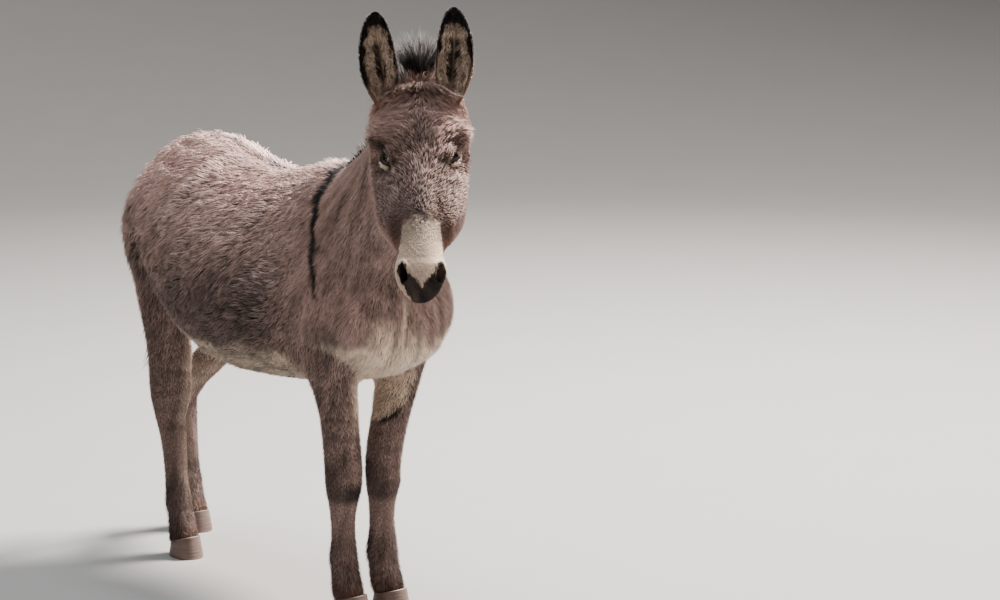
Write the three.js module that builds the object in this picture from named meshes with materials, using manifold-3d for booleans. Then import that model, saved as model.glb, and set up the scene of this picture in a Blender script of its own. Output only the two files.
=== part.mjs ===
// A standing donkey, life-size: 1.1 m at the withers, winter coat, head turned to its right.
// Millimetres, +Z up. The donkey faces -Y and its own left side is +X.
// Flesh is lofted through named stations, joined, and then parted with thin cuts.
import * as THREE from 'three';
import { LoftGeometry } from 'three/addons/geometries/LoftGeometry.js';
import { mergeVertices } from 'three/addons/utils/BufferGeometryUtils.js';
import Module from 'manifold-3d';

const wasm = await Module();
wasm.setup();

// ---------------------------------------------------------------- driving dimensions
const GAP = 0.4;                 // clear space in every cut between two pieces
const WITHERS_Z = 1098;          // top of the coat over the shoulder blades
const CROUP_Z = 1119;            // top of the coat over the hips
const BACK_Z = 1058;             // lowest point of the back
const BELLY_Z = 532;             // lowest point of the belly
const BARREL_HALF = 210;         // half the width of the barrel
const BODY_BACK_Y = 962;         // the buttocks, behind the forefeet
const CHEST_FRONT_Y = -195;      // the breast, ahead of the forefeet
const ELBOW_HALF = 98;           // middle of the upper foreleg, off the midline
const THIGH_HALF = 111;          // middle of the thigh, off the midline
const THIGH_Y = 770;             // middle of the thigh, behind the forefeet
const LEG_STEP = 46;             // height between two sections of a leg

const POLL = new THREE.Vector3(-134, -391, 1291);  // top of the skull between the ears
const HEAD_TURN = THREE.MathUtils.degToRad(38.5);  // to the donkey's right of straight ahead
const HEAD_PITCH = THREE.MathUtils.degToRad(55);   // face line below the horizontal
const HEAD_LEAN = THREE.MathUtils.degToRad(1.2);   // nose swung to the donkey's left
const HEAD_LENGTH = 472;         // poll to upper lip

const EYE_RADIUS = 19;
const EAR_LENGTH = 210;          // from the skull to the tip
const EAR_THICKNESS = 8;
const EAR_BOW = 10;              // how far the ear bends back and out of a straight line
const EAR_BASE_LEFT = 66;        // middle of an ear's root, off the midline of the head
const EAR_RIGHT_TILT = { forward: THREE.MathUtils.degToRad(13), out: THREE.MathUtils.degToRad(7) };
const EAR_LEFT_TILT = { forward: THREE.MathUtils.degToRad(3), out: THREE.MathUtils.degToRad(3) };
const FORELOCK_LENGTH = 138;
const TAIL_TIP_Z = 432;
const SWITCH_Z = 640;            // where the long hair of the tail begins

const HOOF_TOE_HEIGHT = 60;
const HOOF_HEEL_HEIGHT = 34;
const HOOF_DEPTH = 90;           // toe to heel at the coronet
const FORE_HOOF_HALF = 39;
const HIND_HOOF_HALF = 36;

const THROAT_Z = 790;            // head and neck end above this height
const FORE_BACK_Y = 124;         // back of the cut round a foreleg
const FORE_MIDLINE_X = -13.5;    // the plane between the forelegs, which stand close
const HIND_MIDLINE_X = -6;       // the plane between the hind legs

const COLOURS = {
  coat: 0x86736a, dark: 0x3a2c27, muzzle: 0xcdbfae, hoof: 0x6b6058, eye: 0x120b08,
};

// ---------------------------------------------------------------- shape helpers
const vec = (x, y, z) => new THREE.Vector3(x, y, z);

// Rows of numbers, smoothly interpolated along their first column.
function along(rows) {
  const keys = rows.map((row) => row[0]);
  const values = rows.flatMap((row) => row.slice(1));
  const curve = new THREE.CubicInterpolant(keys, values, rows[0].length - 1);
  return (at) => Array.from(curve.evaluate(at));
}

function steps(from, to, count) {
  return Array.from({ length: count + 1 }, (_, i) => from + ((to - from) * i) / count);
}

// A closed section: half width, reach above and below the centre, and how square it is (2 is an ellipse).
// taper narrows the upper part, as a back narrows to its spine.
function ring(centre, side, rise, half, above, below, options) {
  const { sides, square, taper = 0, lower = 0 } = options;
  return Array.from({ length: sides }, (_, i) => {
    const turn = ((i + 0.5) / sides) * 2 * Math.PI;
    const across = Math.sign(Math.cos(turn)) * Math.abs(Math.cos(turn)) ** (2 / square);
    const up = Math.sign(Math.sin(turn)) * Math.abs(Math.sin(turn)) ** (2 / square);
    const narrow = up > 0 ? 1 - taper * up * up : 1 - lower * up * up;
    return centre.clone()
      .addScaledVector(side, half * across * narrow)
      .addScaledVector(rise, (up > 0 ? above : below) * up);
  });
}

// A geometry as a manifold solid, moved by a matrix.
function solid(geometry, matrix = new THREE.Matrix4()) {
  const plain = geometry.index ? geometry.toNonIndexed() : geometry.clone();
  const bare = new THREE.BufferGeometry()
    .setAttribute('position', plain.getAttribute('position'))
    .applyMatrix4(matrix);
  const merged = mergeVertices(bare, 1e-3);
  const corners = merged.index.array;
  const kept = [];
  for (let i = 0; i < corners.length; i += 3) {
    const [a, b, c] = corners.slice(i, i + 3);
    if (a !== b && b !== c && c !== a) kept.push(a, b, c);
  }
  return new wasm.Manifold(new wasm.Mesh({
    numProp: 3,
    vertProperties: merged.attributes.position.array,
    triVerts: new Uint32Array(kept),
  }));
}

// Skins the sections. Each end is closed to a point in the middle of its last section.
function loft(sections) {
  const pole = (section) => {
    const middle = section.reduce((sum, p) => sum.add(p), vec(0, 0, 0)).divideScalar(section.length);
    return section.map(() => middle);
  };
  return solid(new LoftGeometry([pole(sections[0]), ...sections, pole(sections.at(-1))]));
}

function ellipsoid(centre, radii, rotation = new THREE.Quaternion(), detail = 12) {
  const place = new THREE.Matrix4().compose(centre, rotation, radii);
  return solid(new THREE.SphereGeometry(1, detail, Math.round(detail * 0.7)), place);
}

const union = (solids) => solids.reduce((all, one) => all.add(one));

// A prism over a closed outline in the plane of u and v, between two places along their normal.
function prism(outline, u, v, from, to) {
  const shape = new THREE.Shape(outline.map(([a, b]) => new THREE.Vector2(a, b)));
  const out = new THREE.Vector3().crossVectors(u, v);
  const place = new THREE.Matrix4().makeBasis(u, v, out).setPosition(out.clone().multiplyScalar(from));
  return solid(new THREE.ExtrudeGeometry(shape, { depth: to - from, bevelEnabled: false }), place);
}

// Everything on the side of a plane that its normal points to.
function halfSpace(point, normal) {
  const size = 4000;
  const turn = new THREE.Quaternion().setFromUnitVectors(vec(0, 0, 1), normal.clone().normalize());
  const centre = point.clone().addScaledVector(normal.clone().normalize(), size / 2);
  const place = new THREE.Matrix4().compose(centre, turn, vec(1, 1, 1));
  return solid(new THREE.BoxGeometry(size, size, size), place);
}

const Z = vec(0, 0, 1);

// ---------------------------------------------------------------- trunk
// Places along the body: top, bottom, half width, height of the widest point.
function trunk(grow) {
  const at = along([
    [CHEST_FRONT_Y, 782, 724, 30, 752],
    [-190, 822, 690, 74, 753],
    [-176, 868, 650, 122, 758],
    [-130, 930, 612, 158, 766],
    [-50, 1014, 584, 177, 768],
    [30, 1076, 568, 176, 760],
    [95, WITHERS_Z, 556, 176, 744],
    [205, 1073, 544, 188, 738],
    [330, BACK_Z, BELLY_Z + 3, 206, 742],
    [470, 1081, BELLY_Z, BARREL_HALF, 756],
    [590, 1113, 552, 204, 790],
    [690, CROUP_Z, 606, 190, 832],
    [780, 1106, 668, 173, 862],
    [850, 1074, 724, 152, 876],
    [905, 1030, 774, 120, 884],
    [942, 978, 820, 80, 888],
    [BODY_BACK_Y, 925, 862, 30, 890],
  ]);
  const places = [CHEST_FRONT_Y, -190, -181, ...steps(-166, 930, 20), 950, BODY_BACK_Y];
  return loft(places.map((y) => {
    const [top, bottom, half, widest] = at(y);
    return ring(vec(0, y, widest), vec(-1, 0, 0), Z, half + grow, top - widest + grow,
      widest - bottom + grow, { sides: 22, square: 2.15, taper: 0.2 });
  }));
}

// ---------------------------------------------------------------- neck
// Its middle line runs from between the shoulders to behind the jaw.
function neck(grow) {
  const at = along([
    [0, 0, 110, 850, 104, 206, 190],
    [0.2, -4, 0, 906, 138, 186, 180],
    [0.5, -32, -150, 1020, 114, 156, 154],
    [0.75, -74, -256, 1108, 91, 130, 126],
    [1, -120, -336, 1172, 80, 116, 108],
  ]);
  const places = steps(0, 1, 9);
  const middle = (s) => vec(...at(s).slice(0, 3));
  return loft(places.map((s) => {
    const heading = middle(Math.min(1, s + 0.02)).sub(middle(Math.max(0, s - 0.02))).normalize();
    const side = new THREE.Vector3().crossVectors(Z, heading).normalize();
    const rise = new THREE.Vector3().crossVectors(heading, side);
    const [, , , half, above, below] = at(s);
    return ring(middle(s), side, rise, half + grow, above + grow, below + grow,
      { sides: 18, square: 2.1, taper: 0.35 });
  }));
}

// ---------------------------------------------------------------- head
// The head's own axes: towards the nose, out of the face, and to the donkey's left.
const heading = vec(-Math.sin(HEAD_TURN), -Math.cos(HEAD_TURN), 0);
const FACE_OUT = heading.clone()
  .multiplyScalar(Math.sin(HEAD_PITCH))
  .addScaledVector(Z, Math.cos(HEAD_PITCH));
const NOSEWARD = heading.clone()
  .multiplyScalar(Math.cos(HEAD_PITCH))
  .addScaledVector(Z, -Math.sin(HEAD_PITCH))
  .applyAxisAngle(FACE_OUT, HEAD_LEAN);
const HEAD_LEFT = new THREE.Vector3().crossVectors(FACE_OUT, NOSEWARD);

// A point of the head from its distance below the poll, behind the face line, and to the donkey's left.
function inHead(down, behind, left) {
  return POLL.clone()
    .addScaledVector(NOSEWARD, down)
    .addScaledVector(FACE_OUT, -behind)
    .addScaledVector(HEAD_LEFT, left);
}

const headTurn = new THREE.Quaternion().setFromRotationMatrix(
  new THREE.Matrix4().makeBasis(HEAD_LEFT, NOSEWARD, FACE_OUT.clone().negate()));

const EYE_DOWN = 145;
const EYE_BEHIND = 46;
const EYE_LEFT = 70;
const eyePlace = (side) => inHead(EYE_DOWN, EYE_BEHIND, side * EYE_LEFT);

// Brow at 90, eyes at 150, cheeks to 300, then the narrow muzzle.
function head(grow) {
  // Distance below the poll: face line, underside, half width, where it is widest, taper above and below.
  const at = along([
    [-52, 66, 128, 34, 92, 0.2, 0.2],
    [-40, 36, 146, 70, 84, 0.16, 0.2],
    [-10, 8, 164, 96, 74, 0.1, 0.34],
    [40, -2, 186, 107, 68, 0.08, 0.4],
    [95, -2, 206, 111, 74, 0.12, 0.36],
    [150, 2, 214, 105, 96, 0.34, 0.3],
    [205, 4, 210, 102, 110, 0.54, 0.28],
    [250, 5, 196, 98, 112, 0.6, 0.28],
    [290, 6, 168, 84, 104, 0.54, 0.26],
    [325, 6, 138, 63, 84, 0.36, 0.22],
    [360, 7, 121, 51, 62, 0.16, 0.2],
    [415, 12, 117, 52, 54, 0.08, 0.3],
    [446, 22, 110, 42, 58, 0.1, 0.5],
    [HEAD_LENGTH - 8, 44, 94, 24, 68, 0.2, 0.4],
    [HEAD_LENGTH, 56, 84, 14, 70, 0.2, 0.2],
  ]);
  const places = [-52, -46, -36, ...steps(-20, 442, 17), 455, HEAD_LENGTH - 8, HEAD_LENGTH];
  const skull = loft(places.map((down) => {
    const [face, under, half, widest, taper, lower] = at(down);
    return ring(inHead(down, widest, 0), HEAD_LEFT, FACE_OUT, half + grow,
      widest - face + grow, under - widest + grow, { sides: 24, square: 2.4, taper, lower });
  }));
  const wings = [-1, 1].map((side) => ellipsoid(
    inHead(412, 46, side * 31), vec(24 + grow, 40 + grow, 34 + grow), headTurn, 10));
  const chin = ellipsoid(inHead(432, 98, 0), vec(29 + grow, 28 + grow, 22 + grow), headTurn, 10);
  return union([skull, ...wings, chin]);
}

// ---------------------------------------------------------------- legs
// Level sections up the leg: height, middle of the section, half width, reach forward and back.
function leg(rows, grow, sides = 14) {
  const at = along(rows);
  const first = rows[0][0];
  const last = rows[rows.length - 1][0];
  const count = Math.round((last - first) / LEG_STEP);
  return loft(steps(first, last, count).map((z) => {
    const [x, y, half, forward, back] = at(z);
    return ring(vec(x, y, z), vec(-1, 0, 0), vec(0, -1, 0), half + grow, forward + grow, back + grow,
      { sides, square: 2.1 });
  }));
}

// foot is the middle of the hoof; knee and arm say where the leg stands at the knee and mid-forearm.
// heel is how far the hair behind the fetlock reaches.
function foreleg({ side, foot, knee, kneeHalf, arm, heel }, grow) {
  const elbow = side * ELBOW_HALF;
  const fetlock = (foot.x + knee) / 2;
  return leg([
    [44, foot.x, foot.y + 2, 37, 44, 36],
    [66, foot.x, foot.y + 3, 39, 42, 38],
    [98, foot.x * 0.5 + fetlock * 0.5, foot.y + 11, 34, 36, heel - 6],
    [142, fetlock, foot.y + 17, 39, 38, heel],
    [182, fetlock, foot.y + 14, 33, 32, heel - 7],
    [240, knee, foot.y + 10, 31, 31, 37],
    [286, knee, foot.y + 8, kneeHalf - 11, 37, 40],
    [330, knee, foot.y + 4, kneeHalf, 45, 47],
    [368, knee, foot.y + 4, kneeHalf - 1, 44, 49],
    [438, arm, foot.y + 4, 45, 48, 56],
    [496, arm * 0.72 + elbow * 0.28, foot.y + 2, 45, 54, 60],
    [556, elbow * 0.7 + arm * 0.3, foot.y * 0.5 + 2, 48, 70, 72],
    [620, elbow, 4, 55, 92, 96],
    [700, elbow * 1.04, -8, 62, 122, 108],
    [780, elbow * 1.04, -2, 68, 134, 108],
    [870, elbow * 0.98, 24, 60, 110, 92],
    [950, elbow * 0.84, 56, 48, 74, 66],
    [1004, elbow * 0.7, 78, 28, 36, 32],
  ], grow);
}

function hindleg({ side, foot, hock }, grow) {
  const slope = (z) => foot.y + ((hock.y - foot.y) * (z - 60)) / (hock.z - 60);
  const thigh = side * THIGH_HALF;
  const gaskinX = (share) => hock.x * (1 - share) + thigh * 0.95 * share;
  const gaskinY = (share) => hock.y * (1 - share) + THIGH_Y * share;
  return leg([
    [44, foot.x, foot.y + 4, 35, 44, 36],
    [66, foot.x, foot.y + 6, 37, 42, 38],
    [98, foot.x, foot.y + 16, 32, 34, 38],
    [142, foot.x, slope(142) + 14, 37, 37, 46],
    [182, foot.x, slope(182) + 10, 32, 31, 43],
    [250, foot.x, slope(250) + 4, 31, 31, 43],
    [320, foot.x, slope(320) + 2, 35, 36, 46],
    [385, hock.x, hock.y + 2, 42, 54, 49],
    [430, gaskinX(0.2), gaskinY(0.14), 49, 94, 54],
    [480, gaskinX(0.5), gaskinY(0.42) - 4, 49, 90, 56],
    [540, gaskinX(0.8), gaskinY(0.74) - 12, 51, 100, 58],
    [610, thigh * 0.95, THIGH_Y - 2, 54, 108, 66],
    [690, thigh * 0.95, THIGH_Y + 2, 64, 130, 86],
    [770, thigh * 0.9, 780, 73, 136, 112],
    [860, thigh * 0.87, 788, 76, 130, 138],
    [950, thigh * 0.83, 770, 68, 108, 128],
    [1020, thigh * 0.72, 744, 48, 70, 80],
    [1050, thigh * 0.66, 740, 26, 36, 40],
  ], grow);
}

const FORELEGS = {
  foreleg_right: { side: -1, foot: vec(-56, 0, 0), knee: -66, kneeHalf: 51, arm: -72, heel: 46 },
  foreleg_left: { side: 1, foot: vec(50, -18, 0), knee: 36, kneeHalf: 47, arm: 50, heel: 57 },
};
const HINDLEGS = {
  hindleg_right: { side: -1, foot: vec(-96, 700, 0), hock: vec(-98, 762, 410) },
  hindleg_left: { side: 1, foot: vec(62, 912, 0), hock: vec(66, 962, 402) },
};

// ---------------------------------------------------------------- hooves
// Level sections of a narrow, upright hoof with a flat sole.
function hoof(foot, half) {
  const rows = [
    [0, half + 6, 60, 44],
    [4, half + 6.5, 60, 45],
    [30, half + 3, 53, 42],
    [HOOF_TOE_HEIGHT, half, 46, 38],
    [HOOF_TOE_HEIGHT + 10, half - 2, 43, 36],
  ];
  return loft(rows.map(([z, wide, forward, back]) => {
    const middle = vec(foot.x, foot.y + 2, z);
    const shape = { sides: 18, square: 2.2 };
    return ring(middle, vec(-1, 0, 0), vec(0, -1, 0), wide, forward, back, shape);
  }));
}

// The coronet is a plane that falls from the toe to the heel. This is all that lies above it.
function aboveCoronet(foot, shift) {
  const fall = vec(0, HOOF_TOE_HEIGHT - HOOF_HEEL_HEIGHT, HOOF_DEPTH);
  return halfSpace(vec(foot.x, foot.y - HOOF_DEPTH / 2, HOOF_TOE_HEIGHT + shift), fall);
}

// ---------------------------------------------------------------- ears
// An ear is a leaf rolled round its own length. It opens forwards and a little outwards.
function ear(side, tilt) {
  const base = inHead(10, 40, side * EAR_BASE_LEFT);
  const up = Z.clone()
    .addScaledVector(heading, Math.tan(tilt.forward))
    .addScaledVector(HEAD_LEFT, side * Math.tan(tilt.out))
    .normalize();
  const facing = heading.clone().addScaledVector(HEAD_LEFT, side * 0.12);
  const across = new THREE.Vector3().crossVectors(up, facing).normalize();
  const open = new THREE.Vector3().crossVectors(across, up);
  // share of the length: radius of the roll, half angle of the wall, thickness
  const at = along([
    [-0.16, 22, 130, EAR_THICKNESS + 1],
    [0, 24, 126, EAR_THICKNESS + 1],
    [0.12, 32, 116, EAR_THICKNESS],
    [0.3, 41, 102, EAR_THICKNESS],
    [0.5, 41, 96, EAR_THICKNESS - 1],
    [0.68, 37, 90, EAR_THICKNESS - 1],
    [0.82, 29, 86, EAR_THICKNESS - 2],
    [0.93, 18, 80, EAR_THICKNESS - 3],
    [1, 6, 70, 3],
  ]);
  const sections = steps(-0.16, 1, 12).map((share) => {
    const [radius, angle, thick] = at(share);
    const bow = Math.sin(Math.PI * Math.max(0, share));
    const middle = base.clone()
      .addScaledVector(up, EAR_LENGTH * share)
      .addScaledVector(open, radius * 0.5 - EAR_BOW * bow)
      .addScaledVector(HEAD_LEFT, side * EAR_BOW * 0.7 * bow);
    const spot = (reach, turn) => middle.clone()
      .addScaledVector(across, reach * Math.sin(turn))
      .addScaledVector(open, -reach * Math.cos(turn));
    const arc = steps(1, -1, 7).map((part) => THREE.MathUtils.degToRad(angle * part));
    const outer = arc.map((turn) => spot(radius, turn));
    const inner = arc.toReversed().map((turn) => spot(radius - thick, turn));
    return [...outer, ...inner];
  });
  return loft(sections);
}

// ---------------------------------------------------------------- mane, forelock, tail
// A ridge of hair along a path. Each section: how far along, half width, height above and below the path.
function ridge(path, rows, facing, count, sides) {
  const at = along(rows);
  return loft(steps(0, 1, count).map((share) => {
    const [half, above, below] = at(share);
    const rise = facing(share).normalize();
    const side = new THREE.Vector3().crossVectors(rise, path.getTangentAt(share)).normalize();
    return ring(path.getPointAt(share), side, rise, half, above, below, { sides, square: 1.8, taper: 0.3 });
  }));
}

function mane() {
  const crest = new THREE.CatmullRomCurve3([
    inHead(-34, 66, 0), vec(-116, -300, 1266), vec(-82, -220, 1228),
    vec(-42, -130, 1172), vec(-12, -30, 1110), vec(0, 60, 1078),
  ]);
  const rows = [
    [0, 8, 14, 20],
    [0.1, 14, 30, 24],
    [0.5, 15, 40, 24],
    [0.85, 13, 30, 20],
    [1, 6, 8, 8],
  ];
  return ridge(crest, rows, () => vec(0, 0, 1), 11, 8);
}

function forelock() {
  const base = inHead(-10, 44, -8);
  const stem = new THREE.LineCurve3(base, base.clone()
    .addScaledVector(Z, FORELOCK_LENGTH)
    .addScaledVector(heading, FORELOCK_LENGTH * 0.22));
  const rows = [
    [0, 24, 20, 20],
    [0.35, 30, 20, 20],
    [0.7, 38, 16, 16],
    [0.9, 32, 10, 10],
    [1, 16, 4, 4],
  ];
  return ridge(stem, rows, () => heading.clone(), 7, 10);
}

const dock = new THREE.CatmullRomCurve3([
  vec(0, 912, 978), vec(0, 968, 950), vec(2, 996, 890), vec(4, 1004, 800),
  vec(5, 1004, 690), vec(6, 1000, 560), vec(6, 998, TAIL_TIP_Z),
]);

// The dock with its short hair, down to the long hair of the switch, then the tip.
function tailHair() {
  const rows = [
    [0, 26, 22, 24],
    [0.16, 26, 24, 26],
    [0.4, 20, 19, 19],
    [0.62, 20, 18, 18],
    [0.78, 25, 22, 22],
    [0.92, 21, 18, 18],
    [1, 7, 6, 6],
  ];
  const facing = (share) => vec(0, 1, 0.001 + Math.max(0, 0.5 - 2 * share));
  return ridge(dock, rows, facing, 15, 10);
}

// ---------------------------------------------------------------- parting
const flesh = (grow) => union([
  trunk(grow), neck(grow), head(grow),
  ...Object.values(FORELEGS).map((limb) => foreleg(limb, grow)),
  ...Object.values(HINDLEGS).map((limb) => hindleg(limb, grow)),
]);

// Cuts one region out of a whole. Both sides of the cut stand back by half the gap.
function partOff(whole, region) {
  return [whole.intersect(region(-GAP / 2)), whole.subtract(region(GAP / 2))];
}

// The head, in front of a plane from behind the ears to behind the jaw.
const headRegion = (grow) => {
  const behindEars = inHead(-34, 20, 0);
  const behindJaw = inHead(130, 206, 0);
  const face = new THREE.Vector3().crossVectors(HEAD_LEFT, behindJaw.sub(behindEars)).negate().normalize();
  return halfSpace(behindEars.addScaledVector(face, -grow), face)
    .intersect(halfSpace(vec(0, 0, THROAT_Z - grow), Z));
};

// The neck, in front of the withers and above the breast.
const neckRegion = (grow) => {
  const front = vec(0, -300, 255).normalize();
  return halfSpace(vec(0, 66, 1100).addScaledVector(front, -grow), front)
    .intersect(halfSpace(vec(0, 0, THROAT_Z - grow), Z));
};

// A foreleg, up to the elbow and the lower shoulder.
const foreRegion = (side) => (grow) => {
  const inner = [[0, -50], [0, 548 + grow], [50 - grow, 604]];
  const outline = [...inner, [160, 706 + grow], [280, 772 + grow], [280, -50]];
  const edge = outline.map(([x, z]) => [FORE_MIDLINE_X + side * x, z]);
  return prism(edge, vec(1, 0, 0), Z, -FORE_BACK_Y - grow, 260);
};

// A hind leg, up to a line that rises from the flank to the buttock.
const hindRegion = (side) => (grow) => {
  const outline = [[596 - grow, -50], [596 - grow, 664 + grow], [1100, 936 + grow], [1100, -50]];
  const [from, to] = side > 0 ? [HIND_MIDLINE_X - grow, 300] : [-300, HIND_MIDLINE_X + grow];
  return prism(outline, vec(0, 1, 0), Z, from, to);
};

const root = new THREE.Group();

function add(name, piece, colour, roughness) {
  const { vertProperties, triVerts } = piece.getMesh();
  const geometry = new THREE.BufferGeometry()
    .setAttribute('position', new THREE.BufferAttribute(Float32Array.from(vertProperties), 3))
    .setIndex(new THREE.BufferAttribute(Uint32Array.from(triVerts), 1));
  geometry.computeVertexNormals();
  const material = new THREE.MeshStandardMaterial({ color: colour, roughness, metalness: 0 });
  const mesh = new THREE.Mesh(geometry, material);
  mesh.name = name;
  root.add(mesh);
}

const clearFlesh = flesh(GAP);
let rest = flesh(0);
const limbs = {};
for (const [name, { side }] of Object.entries(FORELEGS)) {
  [limbs[name], rest] = partOff(rest, foreRegion(side));
}
for (const [name, { side }] of Object.entries(HINDLEGS)) {
  [limbs[name], rest] = partOff(rest, hindRegion(side));
}
const [headFlesh, headless] = partOff(rest, headRegion);
const [neckFlesh, trunkFlesh] = partOff(headless, neckRegion);

const ears = { ear_right: ear(-1, EAR_RIGHT_TILT), ear_left: ear(1, EAR_LEFT_TILT) };
for (const [name, piece] of Object.entries(ears)) add(name, piece.subtract(clearFlesh), COLOURS.dark, 0.9);

const eyes = { eye_right: eyePlace(-1), eye_left: eyePlace(1) };
const ball = (place, radius) => ellipsoid(place, vec(radius, radius, radius));
const sockets = Object.values(eyes).map((place) => ball(place, EYE_RADIUS + GAP));
for (const [name, place] of Object.entries(eyes)) add(name, ball(place, EYE_RADIUS), COLOURS.eye, 0.1);
add('head', headFlesh.subtract(union(sockets)), COLOURS.coat, 0.95);
add('neck', neckFlesh, COLOURS.coat, 0.95);
add('trunk', trunkFlesh, COLOURS.coat, 0.95);

for (const [name, limb] of Object.entries({ ...FORELEGS, ...HINDLEGS })) {
  const half = name in FORELEGS ? FORE_HOOF_HALF : HIND_HOOF_HALF;
  add(name, limbs[name].intersect(aboveCoronet(limb.foot, GAP)), COLOURS.coat, 0.95);
  const horn = hoof(limb.foot, half).subtract(aboveCoronet(limb.foot, 0));
  add(name.replace('leg', 'hoof'), horn, COLOURS.hoof, 0.6);
}

const hair = tailHair().subtract(clearFlesh);
const switchRegion = (grow) => halfSpace(vec(0, 0, SWITCH_Z + grow), vec(0, 0, -1));
const [tailSwitch, tail] = partOff(hair, switchRegion);
add('tail', tail, COLOURS.coat, 0.95);
add('tail_switch', tailSwitch, COLOURS.dark, 0.9);
add('mane', mane().subtract(clearFlesh), COLOURS.dark, 0.9);
add('forelock', forelock().subtract(clearFlesh), COLOURS.dark, 0.9);

// The origin is on the ground, under the middle of the box round the whole animal.
const box = new THREE.Box3().setFromObject(root);
root.position.set(-(box.min.x + box.max.x) / 2, -(box.min.y + box.max.y) / 2, -box.min.z);

export default root;
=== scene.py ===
"""Looks of a standing grey donkey in its winter coat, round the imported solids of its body.

Metres and the row frame throughout: +Z up, the donkey faces -Y and its own left is +X.
One skin stands for the flesh. The coat is made of tufts: thin closed spikes that follow the lie of
the hair. Sides are named by -1 for the donkey's right and 1 for its left.
"""
import math

import bmesh
import bpy
import numpy as np
from mathutils import Matrix, Vector
from mathutils.bvhtree import BVHTree
from mathutils.kdtree import KDTree


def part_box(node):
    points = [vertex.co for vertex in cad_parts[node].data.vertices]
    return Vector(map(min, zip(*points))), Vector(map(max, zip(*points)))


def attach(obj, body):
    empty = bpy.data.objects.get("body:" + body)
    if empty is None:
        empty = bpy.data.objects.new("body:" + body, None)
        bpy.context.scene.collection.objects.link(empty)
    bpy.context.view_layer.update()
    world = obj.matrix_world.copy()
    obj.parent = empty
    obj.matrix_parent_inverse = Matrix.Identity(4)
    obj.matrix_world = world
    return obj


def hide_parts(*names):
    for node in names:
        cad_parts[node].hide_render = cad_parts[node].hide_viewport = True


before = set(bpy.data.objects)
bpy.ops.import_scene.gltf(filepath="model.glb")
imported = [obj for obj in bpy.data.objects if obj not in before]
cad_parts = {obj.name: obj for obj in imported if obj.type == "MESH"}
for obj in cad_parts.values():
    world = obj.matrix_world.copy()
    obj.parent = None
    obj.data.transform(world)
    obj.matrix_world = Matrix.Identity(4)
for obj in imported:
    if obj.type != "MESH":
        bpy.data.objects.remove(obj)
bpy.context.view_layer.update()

MM = 0.001
rng = np.random.default_rng(11)

# ---------------------------------------------------------------- small helpers


def unit(vectors):
    """Vectors at length one; rows when there are several."""
    length = np.linalg.norm(vectors, axis=-1, keepdims=True)
    return vectors / np.maximum(length, 1e-12)


def ramp(low, high, x):
    """0 at low, 1 at high, smooth between. low may be the larger of the two."""
    t = np.clip((np.asarray(x, float) - low) / (high - low), 0, 1)
    return t * t * (3 - 2 * t)


def near(x, centre, half, soft):
    """1 within half of centre, falling to 0 over soft."""
    return ramp(half + soft, half, np.abs(np.asarray(x, float) - centre))


def ramp_mm(low, high, x):
    """ramp with its ends in millimetres."""
    return ramp(low * MM, high * MM, x)


def near_mm(x, centre, half, soft):
    """near with its three sizes in millimetres."""
    return near(x, centre * MM, half * MM, soft * MM)


def strongest(*marks):
    """The largest of several marks at each place."""
    return np.maximum.reduce(marks)


def rows_of(*parts):
    """Rows made of columns, each a number or an array."""
    return np.stack(np.broadcast_arrays(*parts), 1)


def mix(a, b, share):
    """From a to b. Where a or b is a row of numbers and there are many shares, each share makes a row."""
    a, b, share = (np.asarray(value, float) for value in (a, b, share))
    deepest = max(a.ndim, b.ndim)
    rows = max(a.shape, b.shape, key=len)
    if share.ndim and (deepest > share.ndim or (deepest == 1 and rows != share.shape)):
        share = share[..., None]
    return a * (1 - share) + b * share


def along(rows, at):
    """Smooth values between rows of [key, value...], at one or more keys."""
    rows = np.asarray(rows, float)
    keys, values = rows[:, 0], rows[:, 1:]
    at = np.clip(np.atleast_1d(np.asarray(at, float)), keys[0], keys[-1])
    slope = np.gradient(values, keys, axis=0)
    i = np.clip(np.searchsorted(keys, at, side="right") - 1, 0, len(keys) - 2)
    step = (keys[i + 1] - keys[i])[:, None]
    t = ((at - keys[i])[:, None]) / step
    return (
        values[i] * (1 + 2 * t) * (1 - t) ** 2
        + values[i + 1] * t * t * (3 - 2 * t)
        + slope[i] * step * t * (1 - t) ** 2
        - slope[i + 1] * step * t * t * (1 - t)
    )


def wobble(points, scale, seed):
    """A smooth random number from about -1 to 1 at each point: a few waves in random directions."""
    waves = np.random.default_rng(seed)
    total = np.zeros(len(points))
    for _ in range(7):
        direction = unit(waves.normal(size=3)) * scale * waves.uniform(0.6, 1.6)
        total += np.sin(points @ direction + waves.uniform(0, 2 * math.pi))
    return total / 2.6


def linear(*colour):
    """An sRGB colour from 0 to 255 as Blender's linear RGBA."""
    part = np.asarray(colour, float) / 255
    value = np.where(part <= 0.04045, part / 12.92, ((part + 0.055) / 1.055) ** 2.4)
    return (*[float(v) for v in value], 1.0)


def new_object(name, mesh):
    made = bpy.data.objects.new(name, mesh)
    bpy.context.scene.collection.objects.link(made)
    return made


def object_from(name, shape):
    """A smooth object from a bmesh, which is freed."""
    mesh = bpy.data.meshes.new(name)
    shape.to_mesh(mesh)
    shape.free()
    mesh.shade_smooth()
    return new_object(name, mesh)


def object_of_rings(name, rings):
    """A smooth closed object: rings that have as many points each, joined up and capped at both ends."""
    points = np.concatenate(rings)
    count = len(rings[0])
    last = len(points) - count
    pairs = [(i, (i + 1) % count) for i in range(count)]
    faces = []
    for row in range(0, last, count):
        faces += [[row + i, row + j, row + count + j, row + count + i] for i, j in pairs]
    faces += [[j, i, len(points)] for i, j in pairs]
    faces += [[last + i, last + j, len(points) + 1] for i, j in pairs]
    points = np.vstack([points, rings[0].mean(0), rings[-1].mean(0)])
    mesh = bpy.data.meshes.new(name)
    mesh.from_pydata(points.tolist(), [], faces)
    mesh.update()
    mesh.shade_smooth()
    return new_object(name, mesh)


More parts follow.
